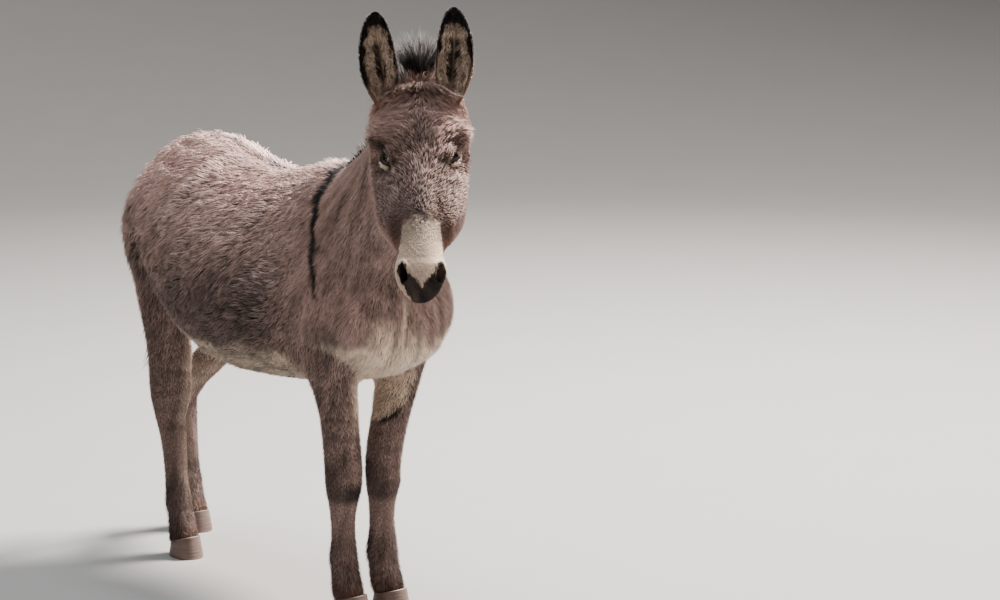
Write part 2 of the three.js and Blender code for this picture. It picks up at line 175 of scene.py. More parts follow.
def points_of(mesh):
    co = np.empty(len(mesh.vertices) * 3, np.float32)
    mesh.vertices.foreach_get("co", co)
    return co.reshape(-1, 3).astype(float)


def normals_of(mesh):
    direction = np.empty(len(mesh.vertices) * 3, np.float32)
    mesh.vertex_normals.foreach_get("vector", direction)
    return direction.reshape(-1, 3).astype(float)


def move_points(mesh, co):
    mesh.vertices.foreach_set("co", co.astype(np.float32).ravel())
    mesh.update()


def edges_of(mesh):
    pairs = np.empty(len(mesh.edges) * 2, np.int32)
    mesh.edges.foreach_get("vertices", pairs)
    return pairs.reshape(-1, 2)


def neighbour_mean(values, pairs):
    """The mean of the neighbours' values at each vertex."""
    count = len(values)
    a, b = pairs.T
    degree = np.maximum(np.bincount(a, minlength=count) + np.bincount(b, minlength=count), 1)
    total = [
        np.bincount(a, values[b, k], count) + np.bincount(b, values[a, k], count)
        for k in range(values.shape[1])
    ]
    return np.stack(total, 1) / degree[:, None]


def relax(co, pairs, rounds, weight=1.0):
    """Smooths without shrinking: each round pulls towards the neighbours, then pushes back."""
    weight = np.broadcast_to(np.asarray(weight, float), len(co))[:, None]
    for _ in range(rounds):
        co = co + 0.62 * weight * (neighbour_mean(co, pairs) - co)
        co = co - 0.64 * weight * (neighbour_mean(co, pairs) - co)
    return co


def relax_mesh(mesh, rounds, weight):
    move_points(mesh, relax(points_of(mesh), edges_of(mesh), rounds, weight))


def blur(values, pairs, rounds):
    for _ in range(rounds):
        values = 0.4 * values + 0.6 * neighbour_mean(values, pairs)
    return values


def store(mesh, name, values, kind="FLOAT_COLOR"):
    """Keeps a number or a colour at each vertex, for the materials."""
    layer = mesh.attributes.new(name, kind, "POINT")
    field = "color" if kind == "FLOAT_COLOR" else "value"
    layer.data.foreach_set(field, np.asarray(values, np.float32).ravel())


def mesh_from(name, co, faces):
    """A mesh from points and faces that all have as many corners."""
    faces = np.asarray(faces, np.int32)
    mesh = bpy.data.meshes.new(name)
    mesh.vertices.add(len(co))
    mesh.vertices.foreach_set("co", np.asarray(co, np.float32).ravel())
    mesh.loops.add(faces.size)
    mesh.loops.foreach_set("vertex_index", faces.ravel())
    mesh.polygons.add(len(faces))
    mesh.polygons.foreach_set("loop_start", np.arange(len(faces), dtype=np.int32) * faces.shape[1])
    mesh.update(calc_edges=True)
    mesh.shade_smooth()
    return mesh


# ---------------------------------------------------------------- the animal's own axes
BODY_MID_X = 48 * MM
HEAD_TURN = math.radians(38.5)
HEAD_PITCH = math.radians(55)
HEAD_LEAN = math.radians(1.2)
EYE_DOWN, EYE_BEHIND = 145 * MM, 46 * MM
MUZZLE_LEFT = 3 * MM             # the nose sits this far to the left of the head's midline
UP = np.array([0.0, 0.0, 1.0])
HEADING = np.array([-math.sin(HEAD_TURN), -math.cos(HEAD_TURN), 0.0])
OUT = HEADING * math.sin(HEAD_PITCH) + UP * math.cos(HEAD_PITCH)
DOWN_FACE = HEADING * math.cos(HEAD_PITCH) - UP * math.sin(HEAD_PITCH)
NOSE = DOWN_FACE * math.cos(HEAD_LEAN) + np.cross(OUT, DOWN_FACE) * math.sin(HEAD_LEAN)
LEFT = np.cross(OUT, NOSE)
SIDES = {"right": -1, "left": 1}


def middle_of(node):
    low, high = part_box(node)
    return np.array((low + high) / 2)


CAD_EYES = {side: middle_of(f"eye_{name}") for name, side in SIDES.items()}
EYE_RADIUS = 19.5 * MM
POLL = (CAD_EYES[-1] + CAD_EYES[1]) / 2 - EYE_DOWN * NOSE + EYE_BEHIND * OUT
# The eyes stand a little off the solids' eyes, along the face.
EYES = {-1: CAD_EYES[-1] + LEFT * 8 * MM - NOSE * 3 * MM, 1: CAD_EYES[1] - LEFT * 5 * MM - NOSE * 7 * MM}


def in_head(down, behind, left):
    """The place at these distances below the poll, behind the face line and to the donkey's left."""
    return POLL + NOSE * down - OUT * behind + LEFT * left


def head_coordinates(co):
    """Each point's distance below the poll, behind the face line and to the left, as in_head takes them."""
    offset = co - POLL
    return offset @ NOSE, -(offset @ OUT), offset @ LEFT


def eye_distance(co):
    """How far each point is from the middle of the nearer eye."""
    return np.min([np.linalg.norm(co - eye, axis=1) for eye in EYES.values()], axis=0)


def ahead_of_jaw(co):
    """How far each point is in front of the plane from behind the ears to behind the jaw."""
    start = in_head(-34 * MM, 20 * MM, 0)
    end = in_head(130 * MM, 206 * MM, 0)
    face = unit(-np.cross(LEFT, end - start))
    return (co - start) @ face


# ---------------------------------------------------------------- skin
LEGS = ["foreleg_right", "foreleg_left", "hindleg_right", "hindleg_left"]
FLESH = ["trunk", "neck", "head", *LEGS, "tail"]
LEG_COLUMNS = [FLESH.index(leg) for leg in LEGS]
CROUP_HOLLOW = 7 * MM            # taken off beside the top of the tail
HOLLOW_SIDE, HOLLOW_Y = 0.10, 0.565
HOLLOW_LOW, HOLLOW_HIGH = 1.05, 1.06
OVERLAP = 0.8 * MM               # closes the thin cuts between the flesh nodes
KNEES_MID_X = 34.8 * MM          # halfway between the forelegs, which all but touch at the knees
KNEE_GAP = 18 * MM               # they are parted by this, so that the skin's cells don't join them
KNEES_BELOW = 0.62
SKIN_CELL = 8.8 * MM


def closed_flesh():
    """All flesh as one closed surface of even cells, at the coat's outline."""
    shape = bmesh.new()
    for name in [*FLESH, "eye_right", "eye_left"]:
        shape.from_mesh(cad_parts[name].data)
    bmesh.ops.remove_doubles(shape, verts=shape.verts[:], dist=1e-5)
    shape.normal_update()
    for vertex in shape.verts:
        vertex.co += vertex.normal * OVERLAP
        offset = vertex.co.x - KNEES_MID_X
        if vertex.co.y < 0 and vertex.co.z < KNEES_BELOW and abs(offset) < KNEE_GAP / 2:
            vertex.co.x = KNEES_MID_X + math.copysign(KNEE_GAP / 2, offset)
    source = bpy.data.meshes.new("flesh_source")
    shape.to_mesh(source)
    shape.free()
    made = new_object("flesh_source", source)
    cells = made.modifiers.new("cells", "REMESH")
    cells.mode = "VOXEL"
    cells.voxel_size = SKIN_CELL
    graph = bpy.context.evaluated_depsgraph_get()
    mesh = bpy.data.meshes.new_from_object(made.evaluated_get(graph))
    bpy.data.objects.remove(made)
    bpy.data.meshes.remove(source)
    return mesh


def flesh_finder():
    """Finds the flesh node that lies nearest to a point."""
    corners, triangles, owners = [], [], []
    for number, name in enumerate(FLESH):
        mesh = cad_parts[name].data
        first = len(corners)
        corners += [v.co for v in mesh.vertices]
        for polygon in mesh.polygons:
            triangles.append([first + i for i in polygon.vertices])
            owners.append(number)
    tree = BVHTree.FromPolygons(corners, triangles)
    return tree, np.array(owners)


def node_shares(mesh, finder, rounds=12):
    """How much of each flesh node every vertex has: soft across the cuts."""
    tree, owners = finder
    nearest = [tree.find_nearest(Vector(p))[2] for p in points_of(mesh)]
    shares = np.eye(len(FLESH))[owners[nearest]]
    return blur(shares, edges_of(mesh), rounds)


class Place:
    """What the coat needs to know about points on the body."""

    def __init__(self, co, normal, shares):
        self.co, self.normal, self.shares = co, normal, shares
        self.x, self.y, self.z = co.T
        self.down, self.behind, self.left = head_coordinates(co)
        share = dict(zip(FLESH, shares.T))
        self.trunk, self.neck, self.head, self.tail = (share[n] for n in ("trunk", "neck", "head", "tail"))
        self.fore = share["foreleg_right"] + share["foreleg_left"]
        self.hind = share["hindleg_right"] + share["hindleg_left"]
        self.leg = self.fore + self.hind
        self.side = np.sign(self.x - BODY_MID_X)
        self.nx, self.ny, self.nz = normal.T
        self.frontal = normal @ OUT
        self.inward = -self.side * self.nx

    def part(self, rows):
        return Place(self.co[rows], self.normal[rows], self.shares[rows])


# The coat by the part of the body: its depth, its hairs' length and width in mm, and their lift in degrees.
SHOULDER_COAT = [8, 25, 2.5, 15]
BARREL_COAT = [13, 44, 3.9, 15]
BELLY_COAT = [9, 26, 3.0, 18]
NECK_COAT = [8, 22, 2.1, 14]
TAIL_COAT = [4.5, 17, 3.0, 16]
EYE_COAT = [2.2, 7.5, 1.6, 9]
# The same on the legs by height, and on the head by distance below the poll.
LEG_COAT = [
    [0.04, 0.5, 17, 1.8, 14], [0.085, 1.5, 20, 1.8, 16], [0.11, 4.5, 17, 1.8, 22], [0.16, 5, 16, 1.8, 22],
    [0.22, 3.5, 11, 1.7, 20], [0.34, 4, 12, 1.7, 20], [0.46, 5, 15, 1.9, 20], [0.62, 7, 22, 2.4, 17],
    [0.80, 11, 32, 3.4, 15],
]
BRIDGE_COAT = [
    [-0.06, 9, 34, 2.5, 20], [0.03, 9, 33, 2.5, 19], [0.09, 8, 28, 2.3, 18], [0.16, 7, 26, 2.1, 13],
    [0.24, 5, 22, 1.8, 10], [0.29, 3.4, 12, 1.6, 11], [0.34, 2.2, 6, 1.7, 18], [0.40, 1.4, 3.6, 1.4, 16],
    [0.47, 0.9, 2.4, 1.3, 16],
]
CHEEK_COAT = [
    [-0.05, 7, 24, 2.4, 20], [0.12, 6.5, 19, 2.1, 16], [0.28, 5.5, 16, 1.9, 15], [0.35, 3.0, 9, 1.7, 15],
    [0.41, 1.4, 4, 1.6, 16], [0.47, 0.9, 2.6, 1.4, 16],
]


def coat_sizes(place):
    """The coat's depth, and its hairs' length, width and lift, at each place."""
    low = ramp(0.72, 0.62, place.z) * (place.nz < 0)
    trunk = mix(mix(SHOULDER_COAT, BARREL_COAT, ramp(-0.26, 0.08, place.y)), BELLY_COAT, low * 0.8)
    head = mix(along(CHEEK_COAT, place.down), along(BRIDGE_COAT, place.down), ramp(0.2, 0.7, place.frontal))
    head = mix(head, EYE_COAT, ramp_mm(40, 24, eye_distance(place.co)))
    leg = along(LEG_COAT, place.z)
    total = place.trunk[:, None] * trunk + place.neck[:, None] * NECK_COAT + place.leg[:, None] * leg
    total = total + place.tail[:, None] * TAIL_COAT + place.head[:, None] * head
    return total / np.maximum(place.shares.sum(1), 1e-6)[:, None]


def below_outline(co, normals, outline):
    """How far each point lies under the outline, along its normal."""
    found = []
    for point, normal in zip(co, normals):
        nearest = outline.find_nearest(Vector(point))[0]
        found.append((nearest - Vector(point)).dot(Vector(normal)))
    return np.array(found)


def croup_hollow(co):
    """How much more is taken off beside the top of the tail."""
    across = np.abs(co[:, 0] - BODY_MID_X) - HOLLOW_SIDE
    level = np.hypot(across, (co[:, 1] - HOLLOW_Y) * 0.7)
    distance, _ = segment_field(level, co[:, 2], (0, HOLLOW_LOW), (0, HOLLOW_HIGH))
    return ramp(0.11, 0.02, distance) * CROUP_HOLLOW


def set_on_hoof(co, foot, pairs):
    """Draws the skin over the coronet, down and a little outwards."""
    middle = neighbour_mean(co, pairs)
    for _ in range(6):
        middle = neighbour_mean(middle, pairs)
    flat = (co - middle) * [1, 1, 0]
    return co + unit(flat + 1e-9) * (foot * 1.5 * MM)[:, None] - UP * (foot * 11 * MM)[:, None]


def shrink_to_skin(mesh, finder):
    """Rounds the facets off and takes the surface in by the depth of the coat."""
    pairs = edges_of(mesh)
    shares = node_shares(mesh, finder)
    co = points_of(mesh)
    outline = BVHTree.FromPolygons([Vector(p) for p in co], [list(f.vertices) for f in mesh.polygons])
    place = Place(co, normals_of(mesh), shares)
    firm = np.clip(1 - 0.55 * place.head * ramp(0.30, 0.36, place.down), 0.3, 1)
    co = relax(co, pairs, 26, firm)
    seam = near(ahead_of_jaw(co), -0.04, 0.03, 0.05) * 0.6 + place.neck * place.trunk * 4
    seam = np.clip(blur(seam[:, None], pairs, 10), 0, 1)
    for _ in range(46):
        co = co + 0.6 * seam * (neighbour_mean(co, pairs) - co)
    for _ in range(3):
        move_points(mesh, co)
        normals = normals_of(mesh)
        lost = blur(below_outline(co, normals, outline)[:, None], pairs, 9)
        co = co + normals * lost * (1 - seam)
    move_points(mesh, co)
    depth = coat_sizes(Place(co, normals_of(mesh), shares))[:, 0] * MM + OVERLAP
    depth = depth + croup_hollow(co)
    for _ in range(3):
        co = points_of(mesh) - normals_of(mesh) * depth[:, None] / 3
        move_points(mesh, relax(co, pairs, 3))
    co = points_of(mesh)
    foot = shares[:, LEG_COLUMNS].sum(1) * ramp(0.12, 0.085, co[:, 2])
    move_points(mesh, set_on_hoof(co, foot, pairs))


def refine(mesh, chosen, rounds):
    """Splits the faces round the chosen vertices in four and smooths the new points."""
    shape = bmesh.new()
    shape.from_mesh(mesh)
    shape.verts.ensure_lookup_table()
    faces = [f for f in shape.faces if all(chosen[v.index] for v in f.verts)]
    lines = list({e for f in faces for e in f.edges})
    bmesh.ops.subdivide_edges(shape, edges=lines, cuts=1, use_grid_fill=True, smooth=0.0)
    uneven = [f for f in shape.faces if len(f.verts) > 4]
    bmesh.ops.triangulate(shape, faces=uneven)
    shape.to_mesh(mesh)
    shape.free()
    mesh.update()
    relax_mesh(mesh, rounds, ahead_of_jaw(points_of(mesh)) > -0.02)


# ---------------------------------------------------------------- face
LID_HALF_LENGTH = 24 * MM
LID_UPPER, LID_LOWER = 8.2 * MM, 6.4 * MM


def eye_axes(side):
    """Where an eye looks, the line from its outer to its inner corner, and up across that line."""
    gaze = unit(LEFT * side * 0.78 + OUT * 0.55 + NOSE * 0.27)
    inner = NOSE * 0.90 - LEFT * side * 0.48 + OUT * 0.06
    inner = unit(inner - gaze * (inner @ gaze))
    upper = unit(np.cross(gaze, inner)) * -side
    return gaze, inner, upper


def around_eye(co, side):
    """Where points are round an eye: their distance from its middle, how much they face where it looks, their
    arc lengths towards its inner corner and its upper lid, and how far they are outside the opening.
    """
    gaze, inner, upper = eye_axes(side)
    offset = co - EYES[side]
    direction = unit(offset)
    facing = direction @ gaze
    reach = EYE_RADIUS * np.arccos(np.clip(facing, -1, 1))
    flat = unit(direction - facing[:, None] * gaze) * reach[:, None]
    towards_inner, towards_upper = flat @ inner, flat @ upper
    gap = lid_gap(towards_inner, towards_upper)
    return np.linalg.norm(offset, axis=1), facing, towards_inner, towards_upper, gap


def lid_gap(inner, upper):
    """How far outside the opening between the lids a place is; negative inside it."""
    share = np.clip(np.abs(inner) / LID_HALF_LENGTH, 0, 1)
    half = np.where(upper > 0, LID_UPPER, LID_LOWER) * (1 - share ** 2.2)
    beyond = np.maximum(np.abs(inner) - LID_HALF_LENGTH, 0)
    return np.hypot(np.maximum(np.abs(upper) - half, 0), beyond) - np.maximum(half - np.abs(upper), 0)


def sculpt_eye(co, side):
    """Lids over the eyeball: a rim, a heavy upper lid with a fold, and the socket blended into the face."""
    distance, facing, _, upper, gap = around_eye(co, side)
    above = ramp_mm(-2, 3, upper)
    lid = EYE_RADIUS + 1.0 * MM + mix(2.2, 3.6, above) * MM * ramp_mm(0, 4.5, gap)
    lid = lid - 1.5 * MM * near_mm(gap, 9, 0.6, 2.4) * above
    lid = lid + 5.0 * MM * ramp_mm(8, 16, gap) * above
    lid = lid + 1.6 * MM * near_mm(gap, 8, 1.5, 5) * (1 - above)
    lid = np.where(gap < 0, EYE_RADIUS - 2.6 * MM * ramp_mm(0, -1.4, gap), lid)
    hold = ramp_mm(27, 13, gap) * (facing > 0.05) * (distance < 60 * MM)
    target = EYES[side] + unit(co - EYES[side]) * lid[:, None]
    return mix(co, target, hold)


def sculpt_eyes(mesh):
    for side in EYES:
        move_points(mesh, sculpt_eye(points_of(mesh), side))


def segment_field(u, v, start, end):
    """Distance from a segment in a plane, and the share of its length that lies nearest."""
    start, end = np.asarray(start), np.asarray(end)
    line = end - start
    share = np.clip(((u - start[0]) * line[0] + (v - start[1]) * line[1]) / (line @ line), 0, 1)
    return np.hypot(u - start[0] - share * line[0], v - start[1] - share * line[1]), share


NOSTRIL_TOP = np.array([407, 40]) * MM        # distance below the poll and from the muzzle's midline
NOSTRIL_LOW = np.array([437, 36]) * MM
MOUTH_BEHIND = 80 * MM
# Half widths of the pale nose pad and of the dark skin round it, by distance below the poll.
NOSE_PAD = [
    [0.398, 0.044], [0.409, 0.036], [0.418, 0.031], [0.426, 0.027], [0.432, 0.022], [0.438, 0.0155],
    [0.444, 0.0085], [0.451, 0.002], [0.460, -0.006],
]
DARK_NOSE = [
    [0.398, 0.037], [0.404, 0.0430], [0.411, 0.048], [0.424, 0.0505], [0.434, 0.0480], [0.446, 0.0415],
    [0.456, 0.0325], [0.463, 0.0250], [0.472, 0.019],
]


def nostril_field(down, left):
    """Distance outside the edge of the nearer nostril, and the share of its length from its top."""
    across = np.abs(left - MUZZLE_LEFT)
    distance, share = segment_field(down, across, NOSTRIL_TOP, NOSTRIL_LOW)
    half = along([[0, 1.6 * MM], [0.35, 5.6 * MM], [0.7, 7.0 * MM], [1, 6.0 * MM]], share)[:, 0]
    return distance - half, share


def sculpt_muzzle(co, normal):
    """Nostrils with a raised wing, the lips and the line of the mouth."""
    down, behind, left = head_coordinates(co)
    offset = left - MUZZLE_LEFT
    across = np.abs(offset)
    frontal = ramp(-0.2, 0.15, normal @ OUT) * ramp(0.37, 0.39, down) * ramp_mm(75, 60, behind)
    gap, _ = nostril_field(down, left)
    outward = unit(OUT[None] + LEFT[None] * np.sign(offset)[:, None] * 0.8 + NOSE[None] * 0.2)
    hole = ramp_mm(1.0, -4.0, gap) * frontal
    wing = near_mm(gap, 3.6, 1.2, 4) * frontal * ramp_mm(24, 40, across)
    pad = ramp_mm(2, -5, across - along(NOSE_PAD, down)[:, 0]) * near(down, 0.425, 0.012, 0.02) * frontal
    co = co - outward * (hole * 17 * MM)[:, None] + normal * (wing * 3.2 * MM + pad * 2.2 * MM)[:, None]
    mouth_line = MOUTH_BEHIND + 4 * MM * np.cos(down * 60)
    mouth = near(behind, mouth_line, 0.4 * MM, 3.2 * MM) * ramp(0.372, 0.40, down)
    lips = near(behind, MOUTH_BEHIND - 8 * MM, 2 * MM, 6 * MM) * ramp(0.39, 0.43, down)
    co = co - normal * (mouth * 4.2 * MM)[:, None] + normal * (lips * 1.6 * MM)[:, None]
    cleft = near(left, MUZZLE_LEFT, 0.3 * MM, 4.5 * MM)
    cleft = cleft * ramp(0.444, 0.456, down) * ramp(0.474, 0.466, down)
    return co - normal * (cleft * 2.0 * MM)[:, None]


CHEEK_CREST = np.array([[185, 62], [290, 58]]) * MM     # its ends, below the poll and behind the face line


def sculpt_skull(co, normal):
    """Cheek crest, hollow above the eye, and the shallow channel beside the nose bones."""
    down, behind, left = head_coordinates(co)
    across = np.abs(left)
    crest, _ = segment_field(down, behind, *CHEEK_CREST)
    raised = ramp_mm(13, 2, crest) * ramp(0.1, 0.5, np.abs(normal @ LEFT)) * 3.0 * MM
    channel = near(down, 0.31, 0.035, 0.04) * near_mm(across, 42, 4, 14)
    hollow = near(down, 0.09, 0.012, 0.02) * near_mm(across, 68, 8, 14) * ramp(0.1, 0.5, normal @ OUT)
    return co + normal * (raised - channel * 3.5 * MM - hollow * 1 * MM)[:, None]


# Three rounds of finer cells on the head, of which the last two keep to the eyes and the nose: reach round
# the eyes, where the nose starts below the poll and how deep it is taken, and the rounds of smoothing.
FINER = [(math.inf, 0, 0, 5), (50 * MM, 0.385, 0.1, 2), (34 * MM, 0.39, 0.05, 2)]


def make_skin(finder):
    """The flesh as one smooth skin with the face sculpted into it."""
    mesh = closed_flesh()
    shrink_to_skin(mesh, finder)
    for reach, nose_start, nose_depth, rounds in FINER:
        co = points_of(mesh)
        down, behind, _ = head_coordinates(co)
        nose = (down > nose_start) & (behind < nose_depth)
        refine(mesh, (ahead_of_jaw(co) > -0.01) & ((eye_distance(co) < reach) | nose), rounds)
    move_points(mesh, sculpt_skull(points_of(mesh), normals_of(mesh)))
    sculpt_eyes(mesh)
    relax_mesh(mesh, 2, (eye_distance(points_of(mesh)) < 40 * MM) * 0.5)
    sculpt_eyes(mesh)
    down, behind, _ = head_coordinates(points_of(mesh))
    relax_mesh(mesh, 110, near(down, 0.388, 0.022, 0.02) * ramp(0.09, 0.05, behind))
    move_points(mesh, sculpt_muzzle(points_of(mesh), normals_of(mesh)))
    relax_mesh(mesh, 2, (head_coordinates(points_of(mesh))[0] > 0.37) * 0.6)
    mesh.shade_smooth()
    return mesh


# ---------------------------------------------------------------- lie of the coat
def comb(place):
    """Which way the hair points, before it is laid on the surface."""
    side = place.side
    top = ramp(0.5, 0.95, place.nz)
    rump = ramp(0.36, 0.68, place.y)
    shoulder = ramp(0.0, -0.24, place.y)
    breast = ramp(-0.3, -0.75, place.ny) * ramp(-0.2, -0.3, place.y)
    belly = ramp(-0.4, -0.8, place.nz) * ramp(0.75, 0.66, place.z)
    fall = 0.42 + 1.3 * rump + 1.0 * shoulder + 0.12 * wobble(place.co, 9, 77)
    trunk = rows_of(side * (0.32 * top + 0.1), 1 - 0.45 * rump - 0.35 * shoulder, -fall * (1 - top))
    trunk = mix(trunk, rows_of(side * 0.25, 0.05, -1.0), breast)
    trunk = mix(trunk, [0, 1.0, -0.1], belly)
    ways = [
        (place.trunk, trunk),
        (place.neck, rows_of(side * 0.15, 0.42, -0.95)),
        (place.leg, rows_of(0 * side, 0.16, -1.0)),
        (place.tail, rows_of(0 * side, ramp(0.96, 0.99, place.z) * 0.8, -1.0)),
        (place.head, face_comb(place)),
    ]
    return sum(share[:, None] * unit(direction) for share, direction in ways)


WHORL_DOWN = 0.298               # below the poll


def face_comb(place):
    """From a whorl above the muzzle the hair runs up and outwards, and from the poll it falls to meet it.

    Below the whorl it runs towards the nose.
    """
    outward = np.clip((place.left - MUZZLE_LEFT) / 0.03, -1, 1)
    above = WHORL_DOWN - place.down
    steep = np.clip(above, 0.01, 0.06) / 0.06 * ramp(0.03, 0.14, place.down)
    upward = unit(rows_of(-0.9 * steep, outward * mix(1.1, 0.75, ramp(0.06, 0.2, place.down))))
    from_poll = unit(rows_of(0.62, outward * 0.9))
    upward = unit(mix(upward, from_poll, ramp(0.08, 0.02, place.down)[:, None]))
    forehead = NOSE * upward[:, :1] + LEFT * upward[:, 1:]
    nose = NOSE * 1.0 + LEFT * outward[:, None] * 0.35
    front = mix(nose, forehead, ramp(-0.008, 0.012, above))
    cheek = NOSE * 0.55 - OUT * 0.75 + LEFT * outward[:, None] * 0.1
    cheek = mix(cheek, NOSE * 0.9 - OUT * 0.35, ramp(0.30, 0.38, place.down))
    return mix(cheek, front, ramp(0.1, 0.55, place.frontal))


def lie_of_coat(place, pairs):
    """The hair's direction along the skin at every vertex."""
    flow = comb(place)
    for _ in range(10):
        flow -= (flow * place.normal).sum(1, keepdims=True) * place.normal
        flow = blur(unit(flow), pairs, 1)
    flow -= (flow * place.normal).sum(1, keepdims=True) * place.normal
    return unit(flow)


# ---------------------------------------------------------------- markings
# How the eyes' marks differ, in millimetres. A brow is the dark hair beyond the outer corner: its start
# and end (towards the inner corner, upwards) and half width. Then how far the lids' dark reaches at most,
# how dark the painted shade in the fold above the upper lid is, and how far the pale patch below reaches.
BROWS = {-1: ((-12, 3), (-33, 9), 11), 1: ((-10, 0), (-26, -3), 4.5)}
LIDS_REACH = {-1: 60, 1: 3.2}
FOLD_SHADE = {-1: 0.45, 1: 0}
PALE_REACH = {-1: 10, 1: 13}
TEAR = ((15, 0), (38, -1), 4.8)


def stroke(level, height, start, end, half, solid):
    """A soft stroke between two places in millimetres: full up to the solid share of its half width."""
    distance, _ = segment_field(level, height, np.array(start) * MM, np.array(end) * MM)
    return ramp(half * MM, solid * half * MM, distance)


def eye_ring(place):
    """Dark lids with drawn-out corners, and the pale patch under each eye."""
    dark = np.zeros(len(place.co))
    pale = np.zeros(len(place.co))
    for side in EYES:
        distance, facing, inner, upper, gap = around_eye(place.co, side)
        close = (distance < 60 * MM) & (facing > -0.2)
        _, inward, upward = eye_axes(side)
        level, height = (place.co - EYES[side]) @ inward, (place.co - EYES[side]) @ upward
        above = ramp_mm(0, 6, upper)
        lids = ramp(mix(4.0, 8.0, above) * MM, mix(2.4, 4.0, above) * MM, gap)
        lids = lids * ramp_mm(LIDS_REACH[side], LIDS_REACH[side] / 2, gap)
        tear = stroke(level, height, *TEAR, 0.5)
        brow = stroke(level, height, *BROWS[side], 0.4) * 0.92
        # Painted shade in the fold above the upper lid, on the right eye only.
        fold = near_mm(gap, 4, 3, 7) * ramp_mm(2, 7, upper) * FOLD_SHADE[side]
        dark = np.maximum(dark, strongest(lids, tear, brow, fold) * close)
        under = ramp_mm(PALE_REACH[side], 6.5, gap) * ramp_mm(1.6, 3, gap) * ramp_mm(0, -3, upper)
        under = under * near_mm(inner, 12, 8, 5)
        corner = near_mm(gap, 5.0, 0.6, 1.4) * ramp_mm(4, 10, inner) * (upper > 0) * 0.6
        pale = np.maximum(pale, np.maximum(under, corner) * close)
    return dark * (1 - 0.9 * pale), pale


def muzzle_edge(place, offset, ragged):
    """How far down the face the cream muzzle begins: lowest at its sides and under the jaw."""
    side_edge = np.abs(offset) + 0.2 * np.maximum(place.behind - 0.03, 0) + 0.5 * ragged
    edge = mix(0.299 - 0.10 * offset, 0.384, ramp(0.038, 0.051, side_edge))
    edge = mix(edge, 0.352, ramp(0.085, 0.12, place.behind))
    return edge + 0.010 * near(offset, 0.002, 0.002, 0.010)


def black_muzzle(place, across, speckle):
    """The dark skin round the nostrils, outside the pale nose pad, and the mouth line."""
    soft = speckle * 1.2 * MM
    soft_pad = mix(1.6, 4.0, ramp(0.415, 0.440, place.down)) * MM
    outside_pad = ramp(-soft_pad, soft_pad, across - along(NOSE_PAD, place.down)[:, 0] + 2 * soft)
    inside_dark = ramp_mm(1.2, -1.4, across - along(DARK_NOSE, place.down)[:, 0] + soft)
    black = outside_pad * inside_dark * ramp(0.398, 0.405, place.down) * (place.behind < 0.072)
    mouth = near(place.behind, MOUTH_BEHIND, 5 * MM, 5 * MM) * ramp(0.39, 0.42, place.down)
    black = np.maximum(black, mouth * 0.85) * (place.down > 0.37)
    return black * (0.90 + 0.10 * wobble(place.co, 160, 19))


def muzzle_marks(place):
    """Cream muzzle with black nostrils and lips: how pale, how dark, how rusty."""
    offset = place.left - MUZZLE_LEFT
    across = np.abs(offset)
    speckle = wobble(place.co, 700, 15)
    ragged = wobble(place.co, 120, 3) * 5 * MM + speckle * 5 * MM
    pale = ramp_mm(-10, 12, place.down - muzzle_edge(place, offset, ragged) + ragged)
    # Painted shade: the pale muzzle is less pale on the donkey's right half.
    pale = pale * mix(0.80, 1.0, ramp(0.0, 0.02, offset))
    front = ramp(0.2, 0.5, place.frontal)
    wedge = near(place.down, 0.268, 0.025, 0.03) * ramp(0.020, 0.004, across) * front * 0.6
    bright = near(place.down, 0.280, 0.012, 0.022) * near(offset, 0.030, 0.008, 0.016) * front
    around = near(place.down, 0.270, 0.018, 0.035) * ramp(0.045, 0.018, across) * front * 0.35
    # Dark brown beside the pale muzzle, where the nose bones turn away: partly rust-brown hair, partly
    # painted shade; stronger on the donkey's left.
    beside = near(place.down, 0.325, 0.035, 0.045) * near(across, 0.053, 0.004, 0.012)
    beside = beside * mix(0.4, 0.8, offset > 0)
    black = black_muzzle(place, across, speckle)
    dark = np.maximum(black, (beside * 0.35 + wedge) * (1 - pale))
    return pale * (1 - black), dark, strongest(bright * 0.85, around, beside) * (1 - pale)


# The shoulder cross, from its lower tip up: height, place along the body, half width.
CROSS = [
    [0.79, -0.256, 0.0010], [0.815, -0.247, 0.0040], [0.85, -0.233, 0.0068], [0.90, -0.214, 0.0090],
    [0.966, -0.189, 0.0130], [1.016, -0.168, 0.0125], [1.055, -0.161, 0.0105], [1.10, -0.152, 0.0095],
]


def stripes(place):
    """The shoulder cross, the line along the back and the line down the tail."""
    cross_y, half = along(CROSS, place.z).T
    wave = wobble(place.co, 200, 5) * 2.4 * MM
    cross = near(place.y + wave, cross_y, half, 2.5 * MM) * ramp(0.79, 0.815, place.z)
    cross = cross * np.clip(place.trunk + place.neck, 0, 1)
    broken = 0.75 + 0.25 * wobble(place.co, 60, 6)
    back = near(place.x, BODY_MID_X, 4.5 * MM, 4 * MM) * ramp(0.6, 0.85, place.nz)
    back = back * place.trunk * ramp(-0.16, -0.12, place.y) * broken
    tail = near(place.x, BODY_MID_X + 3 * MM, 7 * MM, 6 * MM) * place.tail * ramp(0.2, 0.6, place.ny)
    dirt = ramp(-0.72, -0.92, place.nz) * near(place.y, 0.05, 0.22, 0.10) * place.trunk
    dirt = dirt * ramp(0.1, 0.6, wobble(place.co, 90, 18))
    return strongest(cross, back * 0.85, tail * 0.8, dirt * 0.7)


SLASH = ((0.060, 0.468), (0.101, 0.511))        # across the left forearm: x, height
FAINT_SLASH = ((-0.085, 0.512), (-0.055, 0.500))
# Painted shade round this point, where the right foreleg meets the chest.
RIGHT_ARMPIT_SHADE = (-0.118, -0.27, 0.705)
FORELEG_SPLIT_X = 0.03


